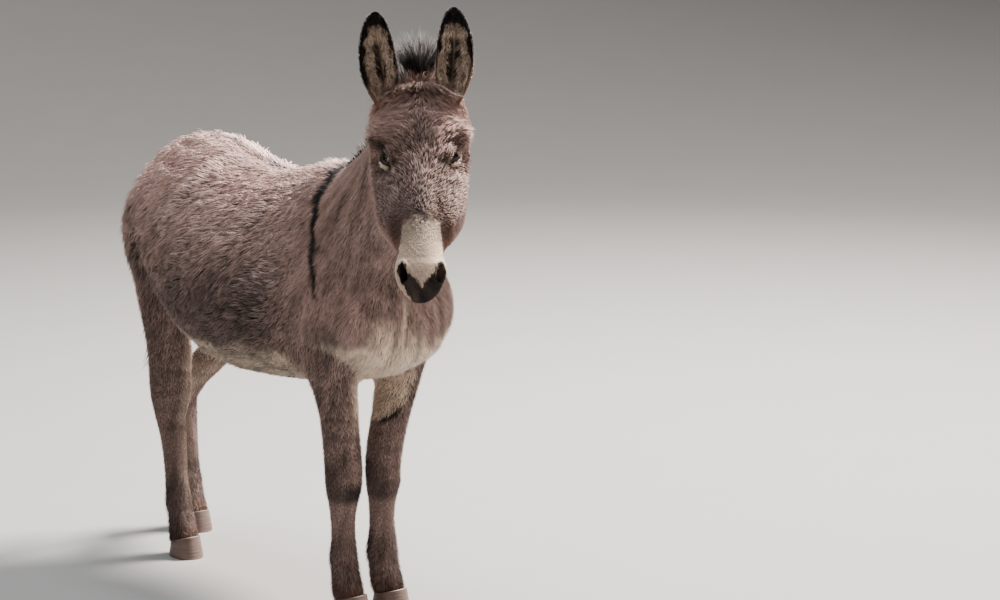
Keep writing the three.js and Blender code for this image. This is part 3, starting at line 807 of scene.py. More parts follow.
def leg_marks(place):
    """Darker knees and fetlocks, painted shade on the knees' sides that face the donkey's right and where the
    right foreleg meets the chest, the slash on the left forearm and faint bars at the hocks.
    """
    patchy = 0.8 + 0.3 * wobble(place.co, 45, 12)
    behind = ramp(-0.3, 0.6, place.ny)
    front = ramp(0.1, -0.3, place.ny)
    fetlock = near(place.z, 0.152, 0.026, 0.035) * mix(0.40, 1.1, behind) * patchy
    pastern = ramp(0.14, 0.09, place.z) * 0.5 * patchy
    knee = near(place.z, 0.312, 0.012, 0.025) * place.fore * mix(0.72, 0.5, behind) * patchy
    # Painted shade on the knees' sides that face the donkey's right.
    knee_side_shade = near(place.z, 0.345, 0.022, 0.04) * place.fore * ramp(-0.3, -0.95, place.nx) * 0.6
    bars = np.clip(np.sin(place.z * 130 + wobble(place.co, 25, 8) * 1.4), 0, 1) ** 3
    bars = bars * near(place.z, 0.44, 0.09, 0.05) * 0.35
    slash, share = segment_field(place.x, place.z, *SLASH)
    slash = ramp(mix(3.5, 6.5, share) * MM, mix(1.5, 4, share) * MM, slash)
    slash = slash * place.fore * front * (place.x > FORELEG_SPLIT_X)
    faint, _ = segment_field(place.x, place.z, *FAINT_SLASH)
    faint = ramp_mm(8, 3, faint) * front * 0.4
    # Painted shade where the right foreleg meets the chest.
    armpit_shade = ramp(0.085, 0.02, np.linalg.norm(place.co - RIGHT_ARMPIT_SHADE, axis=1)) * 0.5
    marks = strongest(fetlock, pastern, knee, knee_side_shade, bars * front, slash, faint)
    return np.maximum(place.leg * marks, armpit_shade)


# Where the grey flank ends and the pale belly begins: place along the body, height.
BELLY_EDGE = [
    [-0.30, 0.70], [-0.169, 0.672], [-0.043, 0.648], [0.03, 0.644], [0.133, 0.636], [0.30, 0.640],
    [0.45, 0.665],
]


def pale_legs(place, ragged):
    """The insides of the legs, and the cream of the left forearm above its slash."""
    left_foreleg = place.x > FORELEG_SPLIT_X
    above_slash = ramp_mm(-2, 5, place.z - 0.470 - 1.05 * (place.x - 0.061) + ragged * 0.3)
    inner = ramp(0.35, 0.75, 0.7 * place.inward - 0.5 * place.ny) * place.fore
    inner = np.maximum(inner, ramp(0.2, 0.7, place.inward) * place.hind)
    inner = inner * ramp(0.44, 0.54, place.z) * np.where(left_foreleg, above_slash, 1) * 0.85
    light_front = ramp(0.2, 0.9, 0.7 * place.inward - 0.7 * place.ny) * place.hind
    inner = np.maximum(inner, light_front * mix(0.14, 0.32, ramp(0.3, 0.42, place.z)))
    cream = above_slash * ramp(0.132, 0.088, place.x + ragged * 0.6) * left_foreleg
    return np.maximum(inner, cream * place.fore * ramp(0.75, 0.70, place.z) * 0.8)


def pale_parts(place):
    """The light belly, breast and insides of the legs."""
    ragged = wobble(place.co, 45, 9) * 7 * MM + wobble(place.co, 260, 10) * 5 * MM
    line = along(BELLY_EDGE, place.y)[:, 0] + ragged
    dirty = 0.94 + 0.20 * wobble(place.co, 70, 17)
    belly = ramp(line + 9 * MM, line - 11 * MM, place.z) * place.trunk * dirty
    streak = 0.5 + 0.5 * wobble(place.co * [1.0, 1.0, 0.22], 170, 14)
    middle = place.x - (0.004 + 0.02 * ramp(0.75, 0.6, place.z))
    breast = near(middle + ragged, 0, 0.048, 0.040)
    breast = breast * ramp(0.79, 0.69, place.z + ragged) * ramp(-0.18, -0.26, place.y)
    breast = breast * mix(0.45, 1.0, np.clip(streak + ramp(0.70, 0.64, place.z), 0, 1))
    breast = breast * (place.trunk + 0.9 * place.fore * ramp(0.52, 0.58, place.z))
    seam = near(place.z, 0.74, 0.05, 0.04) * ramp(-0.33, -0.36, place.y)
    seam = seam * near(place.x, 0.026, 3 * MM, 7 * MM)
    return strongest(belly, breast, pale_legs(place, ragged), seam * 0.7)


def squeeze(direction, along_scale, across_scale):
    """A matrix that stretches noise along one direction."""
    direction = unit(np.array(direction))
    outer = np.outer(direction, direction)
    return along_scale * outer + across_scale * (np.eye(3) - outer)


HAIR_STREAKS = squeeze((0, 1, -0.40), 26, 130)
UPRIGHT_STREAKS = squeeze((0, 0.4, -1.0), 34, 170)


def lightness(place, pale, face):
    """How light the coat is: 0.5 with its streaks, lighter in front, with painted light on top and painted
    shade on the lower flank.
    """
    streaks = wobble(place.co @ HAIR_STREAKS, 1, 51) * ramp(-0.2, 0.05, place.y) * place.trunk
    upright = wobble(place.co @ UPRIGHT_STREAKS, 1, 52)
    upright = upright * np.clip(place.neck + place.leg + place.trunk, 0, 1)
    light = 0.5 + 0.05 * wobble(place.co, 14, 21) + 0.03 * place.head + 0.10 * streaks
    # Painted light on the surfaces that face up, off the head.
    light = light + 0.34 * ramp(0.1, 0.9, place.nz) * (1 - place.head) - 0.02 * place.leg
    light = light - 0.06 * ramp(0.3, 0.1, place.z)
    # Painted shade on the lower flank behind the shoulder and on the side of the rump.
    light = light - 0.46 * place.trunk * ramp(0.98, 0.72, place.z) * ramp(-0.22, 0.0, place.y)
    light = light - 0.12 * place.trunk * ramp(0.48, 0.62, place.y) * ramp(1.08, 0.98, place.z)
    # Lighter near the poll; painted shade on the front of the face.
    light = light + 0.22 * place.head * ramp(0.15, 0.10, place.down) - 0.36 * face
    light = light + place.hind * (0.16 * ramp(0.2, 0.8, place.inward * 0.6 - place.ny * 0.8) - 0.10)
    light = light + 0.19 * upright * ramp(0.0, -0.2, place.y) + 0.15 * upright * place.hind
    # Pale parts are lighter still, more so on the forelegs; the extra on the head's left side is painted
    # light.
    light = light + pale * (0.36 + 0.14 * place.head * ramp(-0.02, 0.02, place.left) + 0.22 * place.fore)
    return light + 0.12 * place.head * pale * wobble(place.co, 420, 53)


def markings(place):
    """Four numbers from 0 to 1 for each place: pale, dark, rust, and how light the coat is."""
    lid_dark, lid_pale = eye_ring(place)
    muzzle_pale, muzzle_black, muzzle_rust = muzzle_marks(place)
    patchy = wobble(place.co, 70, 41)
    throat = ramp(-0.1, -0.7, place.frontal) * 0.35
    pale = np.maximum(pale_parts(place), place.head * strongest(lid_pale, muzzle_pale, throat))
    parting = near(place.left, 0.002, 2 * MM, 11 * MM) * near(place.down, 0.13, 0.10, 0.07)
    parting = parting * ramp(0.3, 0.7, place.frontal) * np.clip(0.26 + 0.3 * patchy, 0, 1)
    crown = near(place.down, 0.075, 0.018, 0.025) * ramp(0.030, 0.008, np.abs(place.left)) * 0.25
    # Painted shade: darker on the lower flank behind the shoulder.
    flank = 0.30 * place.trunk * ramp(0.86, 0.70, place.z) * ramp(-0.20, 0.02, place.y)
    head_dark = place.head * strongest(lid_dark, muzzle_black, parting, crown)
    dark = strongest(stripes(place), leg_marks(place), head_dark, flank)
    dark = dark * (1 - place.head * lid_pale)
    # The front of the face: darker, which is painted shade, and rustier, its own warmer brown.
    face = ramp(0.1, 0.6, place.frontal) * near(place.down, 0.22, 0.09, 0.08) * place.head
    dark = np.maximum(dark, face * (0.29 + 0.14 * patchy) * (1 - pale))
    ears = ramp(0.035, 0.0, place.down) * near(np.abs(place.left), 0.085, 0.02, 0.02)
    coronet = ramp(0.100, 0.070, place.z) * 0.55
    head_rust = place.head * np.maximum(muzzle_rust, ears * 0.6)
    rust = strongest(coronet, head_rust, face * (0.32 + 0.12 * patchy))
    return np.clip(np.stack([pale, dark, rust, lightness(place, pale, face)], 1), 0, 1)


# ---------------------------------------------------------------- hair
BAKE_PATCH = 0.003               # how wide a tuft's patch is on the unwrap for baking


def hair_tip(root, flow, normal, length, lift):
    """Where hairs end that leave the skin at an angle to its flow."""
    return root + flow * (length * np.cos(lift))[:, None] + normal * (length * np.sin(lift))[:, None]


def hair_piece(name, lines, across, raised, widths, marks, strand, bake):
    """An object of closed three-sided spikes along lines of points, each ending in a point.

    lines is hairs x points x 3. widths has a column for each ring of three corners: one for every point but
    the last, or one fewer for hairs that are also pointed at the root. bake gives each hair's place on an
    unwrap of the skin.
    """
    count, steps = lines.shape[:2]
    rings = widths.shape[1]
    first = steps - 1 - rings
    corner = np.array([[-0.5, 0.0], [0.0, 0.42], [0.5, 0.0]])[None, None]
    shift = across[:, None, None] * corner[..., :1] + raised[:, None, None] * corner[..., 1:]
    ring_points = lines[:, first:-1, None] + shift * widths[:, :, None, None]
    co = np.concatenate([lines[:, :first], ring_points.reshape(count, rings * 3, 3), lines[:, -1:]], 1)
    size = first + rings * 3 + 1
    if first:
        faces = [[0, 1 + (i + 1) % 3, 1 + i] for i in range(3)]
    else:
        faces = [[0, 2, 1]]
    for ring in range(rings - 1):
        for i in range(3):
            a, b = first + ring * 3 + i, first + ring * 3 + (i + 1) % 3
            faces += [[a, b, b + 3], [a, b + 3, a + 3]]
    last = first + (rings - 1) * 3
    faces += [[last + i, last + (i + 1) % 3, size - 1] for i in range(3)]
    faces = np.array(faces)
    every = (faces[None] + (np.arange(count) * size)[:, None, None]).reshape(-1, 3)
    mesh = mesh_from(name, co.reshape(-1, 3), every)
    levels = np.linspace(0, 1, steps)
    share = np.concatenate([levels[:first], np.repeat(levels[first:-1], 3), [1.0]])
    side = np.concatenate([[0.5] * first, np.tile([0.0, 0.5, 1.0], rings), [0.5]])
    local = np.stack([side, share], 1)[faces]
    if not first:
        local[0] = [[0, 0], [1, 0], [0.5, 0.2]]
    uv = bake[:, None, None] + local[None] * BAKE_PATCH
    layer = mesh.uv_layers.new(name="OFBake")
    layer.data.foreach_set("uv", uv.astype(np.float32).ravel())
    store(mesh, "marks", np.repeat(marks, size, 0))
    tip = np.tile(share, count)
    own = np.repeat(strand, size, 0)
    store(mesh, "strand", rows_of(tip, own[:, 0], own[:, 1], 1.0))
    return new_object(name, mesh)


class Skin:
    """The finished skin as arrays, to plant hair on."""

    def __init__(self, mesh, finder):
        mesh.calc_loop_triangles()
        corners = np.empty(len(mesh.loop_triangles) * 3, np.int32)
        mesh.loop_triangles.foreach_get("vertices", corners)
        self.triangles = corners.reshape(-1, 3)
        self.place = Place(points_of(mesh), normals_of(mesh), node_shares(mesh, finder, 8))
        self.flow = lie_of_coat(self.place, edges_of(mesh))
        self.sizes = coat_sizes(self.place)
        a, b, c = (self.place.co[self.triangles[:, i]] for i in range(3))
        self.area = np.linalg.norm(np.cross(b - a, c - a), axis=1) / 2
        self.centre = (a + b + c) / 3
        middle = np.full((len(self.area), 3), 1 / 3)
        self.width = self.at(self.sizes[:, 2:3], np.arange(len(self.area)), middle)[:, 0]

    def at(self, values, chosen, shares):
        """Values at places in the chosen triangles, each given by its shares of the three corners."""
        return (values[self.triangles[chosen]] * shares[:, :, None]).sum(1)


def scatter(weights, count):
    """Picks triangles evenly by weight, with a random place in each."""
    total = np.cumsum(weights)
    picks = (np.arange(count) + rng.uniform(0, 1, count)) / count * total[-1]
    chosen = np.minimum(np.searchsorted(total, picks), len(weights) - 1)
    shares = rng.uniform(0, 1, (count, 2))
    over = shares.sum(1) > 1
    shares[over] = 1 - shares[over]
    return chosen, np.column_stack([1 - shares.sum(1), shares])


def groups(roots, spacing):
    """Gathers roots into clumps of about the given size: each root's clump, and how many there are."""
    order = rng.permutation(len(roots))
    cell = np.floor(roots[order] / spacing[order, None]).astype(int)
    _, first = np.unique(cell, axis=0, return_index=True)
    centres = roots[order[first]]
    tree = KDTree(len(centres))
    for i, centre in enumerate(centres):
        tree.insert(centre, i)
    tree.balance()
    return np.array([tree.find(r)[1] for r in roots]), len(centres)


def bare(place):
    """Where no hair grows: the eyes and their lids' edges, and inside the nostrils."""
    empty = np.zeros(len(place.co), bool)
    for side in EYES:
        distance, facing, _, _, gap = around_eye(place.co, side)
        empty |= (distance < 50 * MM) & (facing > 0) & (gap < 2.6 * MM)
    gap, _ = nostril_field(place.down, place.left)
    nose = (place.down > 0.385) & (place.behind < 0.07) & (place.head > 0.5)
    return empty | ((gap < 1.0 * MM) & nose)


def totals(group, vectors, count):
    """The sum of the vectors in each group."""
    return np.stack([np.bincount(group, vectors[:, k], count) for k in range(3)], 1)


def coat(name, skin, chosen, count, unwrap, bent):
    """One piece of the coat over the chosen triangles: tufts in clumps, with fine longer hairs between them.

    Long hair bends half way. Short hair is straight, so there can be more of it.
    """
    picked, shares = scatter(skin.area * chosen / skin.width ** 1.6, count)
    values = (skin.place.co, skin.place.normal, skin.flow, skin.place.shares, skin.sizes)
    root, normal, flow, node_share, sizes = (skin.at(v, picked, shares) for v in values)
    place = Place(root, unit(normal), node_share)
    grows = ~bare(place)
    place = place.part(grows)
    root, normal = place.co, place.normal
    flow = unit(flow)[grows]
    _, length, width, lift = sizes[grows].T
    count = len(root)
    fine = rng.uniform(0, 1, count) < 0.3
    clump, clumps = groups(root, length * 0.36 * MM)
    clump_random = np.random.default_rng(5).uniform(0, 1, clumps)[clump]
    long_coat = ramp(18, 40, length)
    length = length * MM * rng.uniform(0.66, 1.12, count) * np.where(fine, 1.18, 1.0)
    width = width * MM * rng.uniform(0.7, 1.2, count) * np.where(fine, 0.6, 1.0)
    lift = lift + rng.normal(0, 4, count) + np.where(fine, 2, 0)
    lift = np.radians(lift + (clump_random - 0.5) * (5 + 6 * long_coat))
    sway = rng.normal(0, 0.13, count) + (0.16 + 0.18 * long_coat) * wobble(root, 48, 31)
    flow = unit(flow + unit(np.cross(flow, normal)) * sway[:, None])
    across = unit(np.cross(flow, normal))
    tip = hair_tip(root, flow, normal, length, lift)
    members = np.maximum(np.bincount(clump, minlength=clumps), 1)[:, None]
    mean_tip = totals(clump, tip, clumps) / members
    mean_flow = unit(totals(clump, flow, clumps))
    goal = mean_tip[clump] + mean_flow[clump] * (length * 0.12)[:, None]
    pull = mix(0.30, 0.54, long_coat) * rng.uniform(0.5, 1.2, count) * np.where(fine, 0.35, 1.0)
    tip = mix(tip, goal, pull)
    lines = [root - normal * 0.8 * MM, tip]
    if bent:
        bulge = normal * (length * np.sin(lift) * 0.35)[:, None]
        lines.insert(1, root * 0.56 + tip * 0.44 + bulge)
    own = np.where(fine, rng.uniform(0.5, 1, count), rng.uniform(0, 0.9, count))
    forehead = place.head * ramp(0.20, 0.12, place.down)
    own_contrast = 1.0 - 0.35 * place.head + 0.6 * forehead
    clump_contrast = mix(2.1, 1.1, long_coat) - 0.9 * place.head * (1 - forehead)
    strand = rows_of(0.5 + (own - 0.5) * own_contrast, 0.5 + (clump_random - 0.5) * clump_contrast)
    lines = np.stack(lines, 1)
    return hair_piece(name, lines, across, normal, width[:, None], markings(place), strand, unwrap(place))


# ---------------------------------------------------------------- materials
# Each coat colour runs from a dark root to a lighter tip: the dark roots are partly the hair's own colour and
# partly painted shade between the hairs.
GREY = {"root": linear(38, 28, 26), "tip": linear(209, 175, 165)}
PALE = {"root": linear(132, 106, 84), "tip": linear(255, 236, 216)}
DARK = {"root": linear(5, 3, 3), "tip": linear(24, 17, 15)}
RUST = {"root": linear(66, 38, 27), "tip": linear(176, 122, 94)}


class Nodes:
    """Adds nodes to a tree and joins them by name."""

    def __init__(self, tree):
        self.tree = tree

    def add(self, kind, inputs=None, **settings):
        node = self.tree.nodes.new(kind)
        for key, value in settings.items():
            setattr(node, key, value)
        for key, value in (inputs or {}).items():
            if isinstance(value, bpy.types.NodeSocket):
                self.tree.links.new(value, node.inputs[key])
            else:
                node.inputs[key].default_value = value
        return node

    def join(self, value, node, socket):
        self.tree.links.new(value, node.inputs[socket])

    def math(self, operation, *values, clamp=False):
        node = self.add("ShaderNodeMath", dict(enumerate(values)), operation=operation, use_clamp=clamp)
        return node.outputs[0]

    def blend(self, factor, a, b, kind="MIX"):
        node = self.add("ShaderNodeMix", {0: factor, 6: a, 7: b}, data_type="RGBA", blend_type=kind)
        return node.outputs[2]

    def noise(self, scale, detail=3.0, vector=None, stretch=None):
        if vector is None:
            vector = self.add("ShaderNodeTexCoord").outputs["Object"]
        if stretch is not None:
            vector = self.add("ShaderNodeMapping", {"Vector": vector, "Scale": stretch}).outputs[0]
        made = self.add("ShaderNodeTexNoise", {"Vector": vector, "Scale": scale, "Detail": detail})
        return made.outputs["Fac"]


def markings_group():
    """Turns the stored marks into a coat colour, from hair root to hair tip."""
    tree = bpy.data.node_groups.new("Markings", "ShaderNodeTree")
    tree.interface.new_socket("Tip", in_out="INPUT", socket_type="NodeSocketFloat")
    tree.interface.new_socket("Random", in_out="INPUT", socket_type="NodeSocketFloat")
    tree.interface.new_socket("Color", in_out="OUTPUT", socket_type="NodeSocketColor")
    n = Nodes(tree)
    given = n.add("NodeGroupInput")
    marks = n.add("ShaderNodeAttribute", attribute_name="marks")
    parts = n.add("ShaderNodeSeparateColor", {"Color": marks.outputs["Color"]})
    ends = {}
    for end in ("root", "tip"):
        colour = GREY[end]
        for channel, other in (("Blue", RUST), ("Red", PALE), ("Green", DARK)):
            colour = n.blend(parts.outputs[channel], colour, other[end])
        ends[end] = colour
    colour = n.blend(given.outputs["Tip"], ends["root"], ends["tip"])
    level = n.math("MULTIPLY_ADD", n.noise(9.0), 0.30, 0.25)
    level = n.math("ADD", level, n.math("MULTIPLY", marks.outputs["Alpha"], 1.1))
    level = n.math("ADD", level, n.math("MULTIPLY", n.math("SUBTRACT", given.outputs["Random"], 0.5), 0.62))
    bright = n.add("ShaderNodeCombineXYZ", {0: level, 1: level, 2: level}).outputs[0]
    n.join(n.blend(1.0, colour, bright, "MULTIPLY"), n.add("NodeGroupOutput"), "Color")
    return tree


def new_material(name, **values):
    """A material, its nodes and its shader. values go on the shader's sockets, with _ for a space."""
    material = bpy.data.materials.new(name)
    material.use_nodes = True
    shader = material.node_tree.nodes["Principled BSDF"]
    for socket, value in values.items():
        shader.inputs[socket.replace("_", " ")].default_value = value
    return material, Nodes(material.node_tree), shader


def coat_material(group):
    material, n, shader = new_material(
        "winter_coat", Roughness=0.72, Specular_IOR_Level=0.25, Sheen_Weight=0.05, Sheen_Roughness=0.5)
    strand = n.add("ShaderNodeAttribute", attribute_name="strand")
    tip, own, clump = n.add("ShaderNodeSeparateColor", {"Color": strand.outputs["Color"]}).outputs
    share = n.math("MULTIPLY_ADD", n.math("POWER", tip, 1.15), 0.92, 0.05)
    mixed = n.math("ADD", n.math("MULTIPLY", own, 0.5), n.math("MULTIPLY", clump, 0.5))
    made = n.add("ShaderNodeGroup", node_tree=group)
    n.join(share, made, "Tip")
    n.join(mixed, made, "Random")
    n.join(made.outputs["Color"], shader, "Base Color")
    return material


def skin_material(group):
    material, n, shader = new_material("short_fur", Roughness=0.7, Specular_IOR_Level=0.15)
    streaks = n.noise(420.0, 4.0)
    made = n.add("ShaderNodeGroup", node_tree=group)
    n.join(n.math("MULTIPLY_ADD", streaks, 0.5, 0.05), made, "Tip")
    made.inputs["Random"].default_value = 0.5
    n.join(made.outputs["Color"], shader, "Base Color")
    bump = n.add("ShaderNodeBump", {"Strength": 0.5, "Distance": 0.0012, "Height": streaks})
    n.join(bump.outputs[0], shader, "Normal")
    return material


PUPIL_HALF = (0.0075, 0.0042)


def eye_material():
    """Dark brown eye with a wide level pupil and a wet surface. The eye's own Z is its gaze."""
    material, n, shader = new_material(
        "eyeball", Roughness=0.16, Specular_IOR_Level=0.12, Coat_Weight=0.16, Coat_Roughness=0.03)
    place = n.add("ShaderNodeTexCoord").outputs["Object"]
    parts = n.add("ShaderNodeSeparateXYZ", {0: place})
    squares = []
    for axis, half in zip("XY", PUPIL_HALF):
        share = n.math("DIVIDE", parts.outputs[axis], half)
        squares.append(n.math("MULTIPLY", share, share))
    oval = n.math("SQRT", n.math("ADD", *squares))
    pupil = n.math("MULTIPLY", n.math("SUBTRACT", 1.25, oval, clamp=True), 3.0, clamp=True)
    iris = n.blend(n.noise(700.0, 2.0), linear(26, 15, 9), linear(62, 37, 22))
    n.join(n.blend(pupil, iris, linear(5, 4, 5)), shader, "Base Color")
    return material


def hoof_material():
    material, n, shader = new_material("hoof_horn", Roughness=0.55)
    place = n.add("ShaderNodeTexCoord").outputs["Object"]
    rings = n.noise(150.0, 3.0, place, (0.15, 0.15, 1.0))
    fibres = n.noise(260.0, 3.0, place, (1.0, 1.0, 0.06))
    colour = n.blend(rings, linear(72, 58, 53), linear(140, 116, 106))
    n.join(n.blend(n.math("MULTIPLY", fibres, 0.7), colour, linear(84, 68, 62)), shader, "Base Color")
    height = n.math("ADD", rings, n.math("MULTIPLY", fibres, 0.5))
    bump = n.add("ShaderNodeBump", {"Strength": 0.6, "Distance": 0.001, "Height": height})
    n.join(bump.outputs[0], shader, "Normal")
    return material


# ---------------------------------------------------------------- eyes
def eyeball(name, side):
    """A ball with a slight cornea in front, turned so that its own X is level."""
    gaze, _, _ = eye_axes(side)
    level = unit(np.cross(UP, gaze))
    upright = np.cross(gaze, level)
    shape = bmesh.new()
    bmesh.ops.create_uvsphere(shape, u_segments=48, v_segments=32, radius=EYE_RADIUS)
    for vertex in shape.verts:
        reach = math.hypot(vertex.co.x, vertex.co.y)
        bulge = ramp_mm(11, 4, reach) if vertex.co.z > 0 else 0
        vertex.co *= 1 + 0.045 * float(bulge)
    made = object_from(name, shape)
    turn = Matrix(np.column_stack([level, upright, gaze]).tolist()).to_4x4()
    made.matrix_world = Matrix.Translation(Vector(EYES[side])) @ turn
    return made


def lashes(name, side):
    """Dark lashes along the upper lid."""
    gaze, inner, upper = eye_axes(side)
    count = 60
    spot = np.linspace(-0.92, 0.75, count) * LID_HALF_LENGTH
    height = LID_UPPER * (1 - np.abs(spot / LID_HALF_LENGTH) ** 2.2) + 0.8 * MM
    reach = np.hypot(spot, height)
    flat = unit(inner[None] * spot[:, None] + upper[None] * height[:, None])
    turn = (reach / EYE_RADIUS)[:, None]
    outward = gaze * np.cos(turn) + flat * np.sin(turn)
    root = EYES[side] + outward * (EYE_RADIUS + 0.4 * MM)
    direction = unit(outward * 0.9 + gaze * 0.5 - UP * 0.35 - upper * 0.1 + rng.normal(0, 0.12, (count, 3)))
    length = rng.uniform(6, 11, count)[:, None] * MM
    lines = np.stack([root, root + direction * length * 0.55 - UP * 0.4 * MM, root + direction * length], 1)
    lines[:, -1] += UP * 1.2 * MM
    widths = np.full((count, 2), 0.7 * MM)
    across = unit(np.cross(direction, outward))
    marks = np.tile([0.0, 1.0, 0.0, 0.4], (count, 1))
    strand = rng.uniform(0, 1, (count, 2))
    bake = rows_of(np.linspace(0.05, 0.9, count), 0.5)
    return hair_piece(name, lines, across, outward, widths, marks, strand, bake)


# ---------------------------------------------------------------- ears
EAR_LENGTH = 210 * MM
EAR_BOW = 10 * MM
EAR_BASE = (10 * MM, 40 * MM, 66 * MM)
EAR_TILT = {-1: (13, 7), 1: (3, 3)}    # forward and outward, in degrees
# By share of the length: radius in mm, half angle in degrees, thickness in mm.
EAR_ROWS = [
    [-0.16, 22, 130, 9], [0, 24, 126, 9], [0.12, 32, 116, 8], [0.3, 41, 102, 8], [0.5, 41, 96, 7],
    [0.68, 37, 90, 7], [0.82, 29, 86, 6], [0.93, 18, 80, 5], [1, 6, 70, 3],
]
EAR_SKIN = 2.2 * MM              # hair outside the ear's skin
EDGE_TURN = 0.985                # how far round the skin goes, as a share of the half angle
RIM_START = {-1: 0, 1: 0.18}     # the dark rim starts higher on the left ear
# Painted light on the right ear's inside towards the poll.
POLL_PAINTED_LIGHT = {-1: 0.4, 1: 0}     # the right ear's inside is lighter towards the poll


class Ear:
    """A leaf rolled round its own length. It opens forwards and a little outwards."""

    def __init__(self, side):
        forward, out = (math.radians(tilt) for tilt in EAR_TILT[side])
        self.side = side
        down, behind, left = EAR_BASE
        self.base = in_head(down, behind, side * left)
        self.up = unit(UP + HEADING * math.tan(forward) + LEFT * side * math.tan(out))
        facing = HEADING + LEFT * side * 0.12
        self.across = unit(np.cross(self.up, facing))
        self.open = np.cross(self.across, self.up)

    def spot(self, share, turn, inset):
        """Points at a share of the length and of the half angle, set in from the outside."""
        radius, angle, _ = along(EAR_ROWS, share).T
        radius = radius * MM
        bow = np.sin(np.pi * np.clip(share, 0, None))[:, None]
        middle = self.base + self.up * (EAR_LENGTH * share)[:, None]
        middle = middle + self.open * (radius * 0.5)[:, None] - self.open * EAR_BOW * bow
        middle = middle + LEFT * self.side * EAR_BOW * 0.7 * bow
        turned = np.radians(angle) * turn
        reach = np.maximum(radius - inset, 0.4 * MM)
        around = self.across * np.sin(turned)[:, None] - self.open * np.cos(turned)[:, None]
        return middle + around * reach[:, None], around

    def thickness(self, share, turn):
        thinner = 1 - 0.45 * ramp(0.2, 0.9, -turn * self.side)
        return along(EAR_ROWS, share)[:, 2] * thinner * MM


def ear_marks(share, turn, inside, side, ragged=0.0):
    """Dark rim and tip, buff hair inside round a dark hollow that is partly painted shade, grey-brown outside
    with a rusty base.
    """
    towards_poll = ramp(0.3, 0.8, -turn * side)
    edge = np.abs(turn)
    thin = np.where(inside, 0.10, -0.04) * towards_poll
    rim = ramp(0.76 + thin, 0.90 + 0.5 * thin, edge + 0.05 * ragged)
    rim = rim * ramp(0.10, 0.3, share - RIM_START[side])
    tip = ramp(0.73, 0.84, share + 0.07 * edge + 0.06 * ragged)
    # The dark hollow down the middle inside: partly dark skin and hair, partly painted shade.
    slit = ramp(0.12, 0.05, np.abs(turn + 0.04) + 0.05 * ragged) * near(share, 0.42, 0.16, 0.10)
    low = ramp(0.45, 0.1, share)
    dark = strongest(rim, tip, np.where(inside, slit * 0.97, 0.25 * ramp(0.3, 0.8, share)))
    pale = np.where(inside, 0.74 + 0.22 * towards_poll, 0.0)
    rust = np.where(inside, 0.55, np.maximum(0.6 * low, (0.35 + 0.6 * low) * ramp(0.5, 0.8, edge)))
    # The right ear's inside gets painted light towards the poll.
    light = np.where(inside, 0.98 + 0.26 * ragged + POLL_PAINTED_LIGHT[side] * towards_poll, 0.55 + 0.1 * ragged)
    return np.clip(np.stack([pale, dark * mix(1, 0.3, low * ~inside), rust, light], 1), 0, 1)


def ear_shell(name, ear):
    """The ear's skin: outer and inner face joined round the rim."""
    rows, half = 60, 22
    turns = np.linspace(1, -1, half)
    back = turns[::-1]
    rings, marks = [], []
    for share in np.linspace(-0.16, 0.995, rows):
        at = np.full(half, share)
        outer, _ = ear.spot(at, turns * EDGE_TURN, np.full(half, EAR_SKIN * min(1, 4 * (1.02 - share))))
        inner, _ = ear.spot(at, back * EDGE_TURN, np.maximum(ear.thickness(at, back) - 2.0 * MM, 2.6 * MM))
        rings.append(np.concatenate([outer, inner]))
        marks.append(ear_marks(at, turns, np.full(half, False), ear.side))
        marks.append(ear_marks(at, back, np.full(half, True), ear.side))
    made = object_of_rings(name, rings)
    store(made.data, "marks", np.vstack([*marks, [[0, 1, 0, 0.5]] * 2]))
    smooth = made.modifiers.new("smooth", "SUBSURF")
    smooth.levels = smooth.render_levels = 1
    return made


def ear_coat(name, ear, count):
    """Short hair up the outside, and longer buff hair inside that spreads from the hollow to both rims."""
    outside = int(count * 0.36)
    share = np.concatenate([rng.uniform(-0.06, 0.99, outside), rng.uniform(-0.02, 0.96, count - outside)])
    turn = rng.uniform(-1, 1, count)
    inside = np.arange(count) >= outside
    on_rim = rng.uniform(0, 1, count) < 0.25
    turn = np.where(on_rim, np.sign(turn) * rng.uniform(0.86, 1.0, count), turn)
    from_middle = np.abs(turn)
    inset = np.where(inside, np.maximum(ear.thickness(share, turn) - 2.4 * MM, 2.4 * MM), EAR_SKIN + 0.4 * MM)
    root, around = ear.spot(share, turn * EDGE_TURN, inset)
    normal = np.where(inside[:, None], -around, around)
    edge = np.sign(turn)[:, None] * unit(np.cross(np.broadcast_to(ear.up, (count, 3)), around))
    spread = np.where(inside, 0.75 * ramp(1.0, 0.7, from_middle), 0.08)[:, None]
    ragged = wobble(root, 150, 61)
    flow = unit(ear.up - edge * spread + rng.normal(0, 0.16, (count, 3)))
    middle = ramp(1.0, 0.5, from_middle) * ramp(0.95, 0.6, share)
    length = np.where(inside, 10 + 13 * middle + 4 * ragged, 8.0) * MM * rng.uniform(0.7, 1.15, count)
    length = length * ramp(1.04, 0.9, share)
    lift = np.radians(np.where(inside, 34.0 + 10 * ragged, 11.0) + rng.normal(0, 6, count))
    tip = hair_tip(root, flow, normal, length, lift)
    width = np.where(inside, 1.8, 2.2) * MM * rng.uniform(0.7, 1.2, count)
    bulge = normal * (length * np.sin(lift) * 0.25)[:, None]
    lines = np.stack([root, (root + tip) / 2 + bulge, tip], 1)
    marks = ear_marks(share, turn, inside, ear.side, ragged)
    marks[:, 3] = np.clip(marks[:, 3] + rng.normal(0, 0.24, count), 0, 1.3)
    strand = rng.uniform(0, 1, (count, 2))
    bake = rows_of(np.where(inside, 0.75, 0.25) + turn * 0.23, np.clip((share + 0.1) / 1.12, 0, 0.99))
    across = unit(np.cross(flow, normal))
    return hair_piece(name, lines, across, normal, width[:, None], marks, strand, bake)


